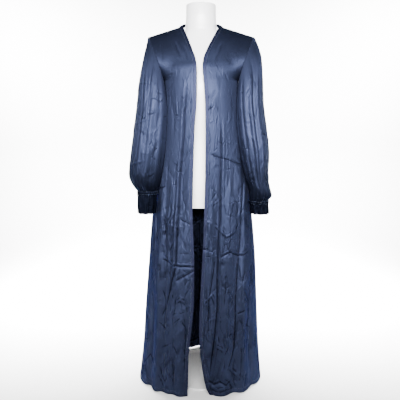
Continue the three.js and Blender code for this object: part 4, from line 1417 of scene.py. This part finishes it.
@dataclass
class Studio:
    """Pale floor and backdrop, soft lights, and the camera at the photograph's angle."""

    camera_place: Place = (-0.004, -1.80, 1.04)
    camera_drop: float = 9.4
    lens: float = 40.77
    sensor: float = 36.0
    floor_front: float = -4.0
    wall: float = 2.2
    cove: float = 0.9
    wall_height: float = 4.0
    half_width: float = 5.0
    air: float = 0.07

    def backdrop(self) -> None:
        """Floor that turns up into a wall: a quarter-round profile carried across."""
        arc = np.linspace(0, np.pi / 2, 24)
        y = np.concatenate([[self.floor_front], self.wall - self.cove + self.cove * np.sin(arc), [self.wall]])
        z = np.concatenate([[0.0], self.cove * (1 - np.cos(arc)), [self.wall_height]])
        grid = points(np.array([-self.half_width, self.half_width])[None, :], y[:, None], z[:, None]) / MM
        floor = write_mesh("studio_floor", grid.reshape(-1, 3), [quads(len(y), 2, False)])
        desk = NodeDesk("studio_paper")
        tone = desk.blend(desk.noise(desk.place("Object"), 1.5), (0.9, 0.9, 0.9), (0.93, 0.93, 0.93))
        floor.data.materials.append(desk.finish({"Base Color": tone, "Roughness": 0.9}))

    def light(self, name: str, place: Place, aim: Place, size: Pair, power: float, spread: float) -> None:
        """Adds a soft rectangular light.

        Args:
            name: its name.
            place: its middle, in metres.
            aim: the point it faces.
            size: width and height in metres.
            power: watts.
            spread: full angle of its beam, in degrees.
        """
        data = bpy.data.lights.new(name, "AREA")
        data.shape, data.size, data.size_y, data.energy = "RECTANGLE", size[0], size[1], power
        data.spread = math.radians(spread)
        lamp = bpy.data.objects.new(name, data)
        lamp.location = place
        lamp.rotation_euler = (Vector(aim) - Vector(place)).to_track_quat("-Z", "Y").to_euler()
        bpy.context.scene.collection.objects.link(lamp)

    def build(self) -> None:
        """Sets up the backdrop, the key light, the lights that stand in pairs, the air and the camera."""
        self.backdrop()
        self.light("key", (0.0, -2.05, 1.5), (0.0, 0.0, 1.045), (3.0, 0.4), 102.0, 71.0)
        for name, place, aim, *rest in (
            ("fill", (2.2, -1.6, 1.4), (0.0, 0.0, 1.0), (1.0, 1.6), 1.5, 90.0),
            ("wall", (2.4, 0.9, 2.6), (0.6, 2.2, 0.9), (1.4, 1.0), 240.0, 80.0),
            ("floor", (0.9, 1.15, 2.3), (0.7, 0.85, 0.0), (0.8, 0.4), 105.0, 54.0),
        ):
            for side in Side:
                there, toward = ((side.value * spot[0], *spot[1:]) for spot in (place, aim))
                self.light(f"{name}_{side.word}", there, toward, *rest)
        world = bpy.data.worlds.new("studio_air")
        world.use_nodes = True
        sky = world.node_tree.nodes["Background"]
        sky.inputs["Color"].default_value = (1.0, 1.0, 1.0, 1.0)
        sky.inputs["Strength"].default_value = self.air
        bpy.context.scene.world = world
        data = bpy.data.cameras.new("camera")
        data.lens, data.sensor_width = self.lens, self.sensor
        camera = bpy.data.objects.new("camera", data)
        camera.location = self.camera_place
        camera.rotation_euler = (math.radians(90 - self.camera_drop), 0.0, 0.0)
        bpy.context.scene.collection.objects.link(camera)
        bpy.context.scene.camera = camera


def sleeves(body: GownBody) -> list[GownSleeve]:
    """Both sleeves, each with its own outline, folds and crumples."""
    names = " ".join(SIZES)
    right = GownSleeve(
        Side.RIGHT, body, 0.6, 700.0,
        Outline(names, [
            (789, 246, 168, -86, -26), (818, 268, 156, -102, 14), (852, 281, 146, -108, 44),
            (924, 275, 132, -110, 66), (1020, 261, 122, -106, 76), (1130, 246, 116, -99, 78),
            (1205, 237, 124, -88, 74), (1286, 220, 146, -72, 66), (1367, 202, 160, -34, 34),
        ]),
        Outline(names, [(0, 243, 183, -87, -30), (1, 247, 172, -83, -28)]),
        (
            (56, 1320, 900, 5, -2.4), (63, 1240, 820, 5, 1.8), (84, 1330, 860, 5, -2.6),
            (93, 1180, 800, 5, 2), (116, 1290, 830, 6, -2.8), (128, 1200, 810, 6, 1.6),
            (142, 1250, 860, 7, -2.4), (22, 1220, 880, 6, -2), (300, 1180, 850, 7, -2.2),
            (254, 1260, 840, 7, -2.2), (208, 1160, 820, 7, -2), (340, 1240, 840, 6, 1.6),
        ),
        (
            Crumple(41, 90, (-200, 800), (200, 1330), 44, 5.5, 1.5, 0.35),
            Crumple(42, 26, (-200, 960), (60, 1130), 24, 4.4, 1.8, 1.4),
            Crumple(43, 24, (-200, 800), (200, 900), 30, 5.5, 2.2, 0.9),
        ),
    )
    left = GownSleeve(
        Side.LEFT, body, 0.64, 698.0,
        Outline(names, [
            (751, 262, 190, -84, -26), (770, 273, 189, -96, -4), (796, 268, 186, -102, 20),
            (841, 263, 170, -106, 46), (924, 266, 148, -110, 64), (1020, 256, 130, -106, 74),
            (1130, 241, 122, -99, 78), (1205, 238, 126, -88, 74), (1286, 231, 146, -72, 66),
            (1348, 218, 156, -44, 44), (1367, 202, 160, -34, 34),
        ]),
        Outline(names, [(0, 262, 199, -87, -30), (1, 262, 193, -83, -28)]),
        (
            (52, 1300, 880, 5, -2.2), (60, 1240, 820, 5, 1.8), (80, 1310, 800, 5, -3.2),
            (88, 1240, 790, 5, 2.2), (97, 1200, 790, 5, -3.4), (110, 1290, 800, 5, 2),
            (119, 1250, 790, 5, -3.2), (131, 1240, 800, 6, 1.8), (142, 1230, 790, 6, -3.2),
            (24, 1220, 860, 6, -2.2), (300, 1200, 850, 7, -2.2), (252, 1250, 840, 7, -2.4),
            (206, 1160, 820, 7, -2), (344, 1200, 840, 6, 1.6),
        ),
        (
            Crumple(51, 90, (-200, 770), (200, 1330), 44, 5.5, 1.5, 0.35),
            Crumple(52, 30, (-200, 880), (60, 1010), 24, 4.4, 1.9, 1.4),
            Crumple(53, 24, (-200, 760), (200, 880), 30, 5.5, 2.2, 0.9),
        ),
    )
    return [right, left]


def main() -> None:
    """Builds the studio, the gown, the form and its stand."""
    logging.basicConfig(level=logging.INFO, format="%(message)s")
    Studio().build()
    satin = Satin().material()
    band = Satin("band_satin", (0.023, 0.026, 0.054), (0.018, 0.021, 0.043), 0.62, crumple_depth=0.0006)
    band_satin = band.material()
    looser = {"chest_gloss": -0.16, "edge_tint": (0.5, 0.52, 0.58, 1.0)}
    # The sleeve satins have painted shade on their lower parts.
    sleeve_satins = [
        Satin("right_sleeve_satin", painted_shade_top=1.02, painted_shade_bottom=0.77, **looser).material(),
        Satin("left_sleeve_satin", painted_shade_top=0.98, painted_shade_bottom=0.70, **looser).material(),
    ]
    # Near-black satin for the casings and ruffles: painted shade for the shaded wrists under the sleeves.
    cuff_satin = Satin("cuff_satin", (0.003, 0.0037, 0.0075), (0.002, 0.0027, 0.0055), 0.62).material()
    thread = Thread().material()
    body = GownBody()
    body.build(satin, band_satin, thread)
    for sleeve, sleeve_satin in zip(sleeves(body), sleeve_satins):
        sleeve.build(sleeve_satin, cuff_satin, thread)
    white, white_shade = (0.82, 0.82, 0.83), (0.77, 0.77, 0.79)
    black, black_sheen = (0.012, 0.012, 0.014), (0.02, 0.02, 0.022)
    paint, paint_shade = (0.8, 0.8, 0.8), (0.74, 0.74, 0.75)
    shell = SmoothShell("white_form_shell", white, white_shade, 0.36, 420.0, 0.00004, coat=0.25)
    post = SmoothShell("black_post_paint", black, black_sheen, 0.42, 900.0, 0.00003, metallic=0.3)
    plate = SmoothShell("white_plate_paint", paint, paint_shade, 0.5, 1100.0, 0.00005)
    DressForm().build(shell.material())
    Stand().build(post.material(), plate.material())


if __name__ == "__main__":
    main()
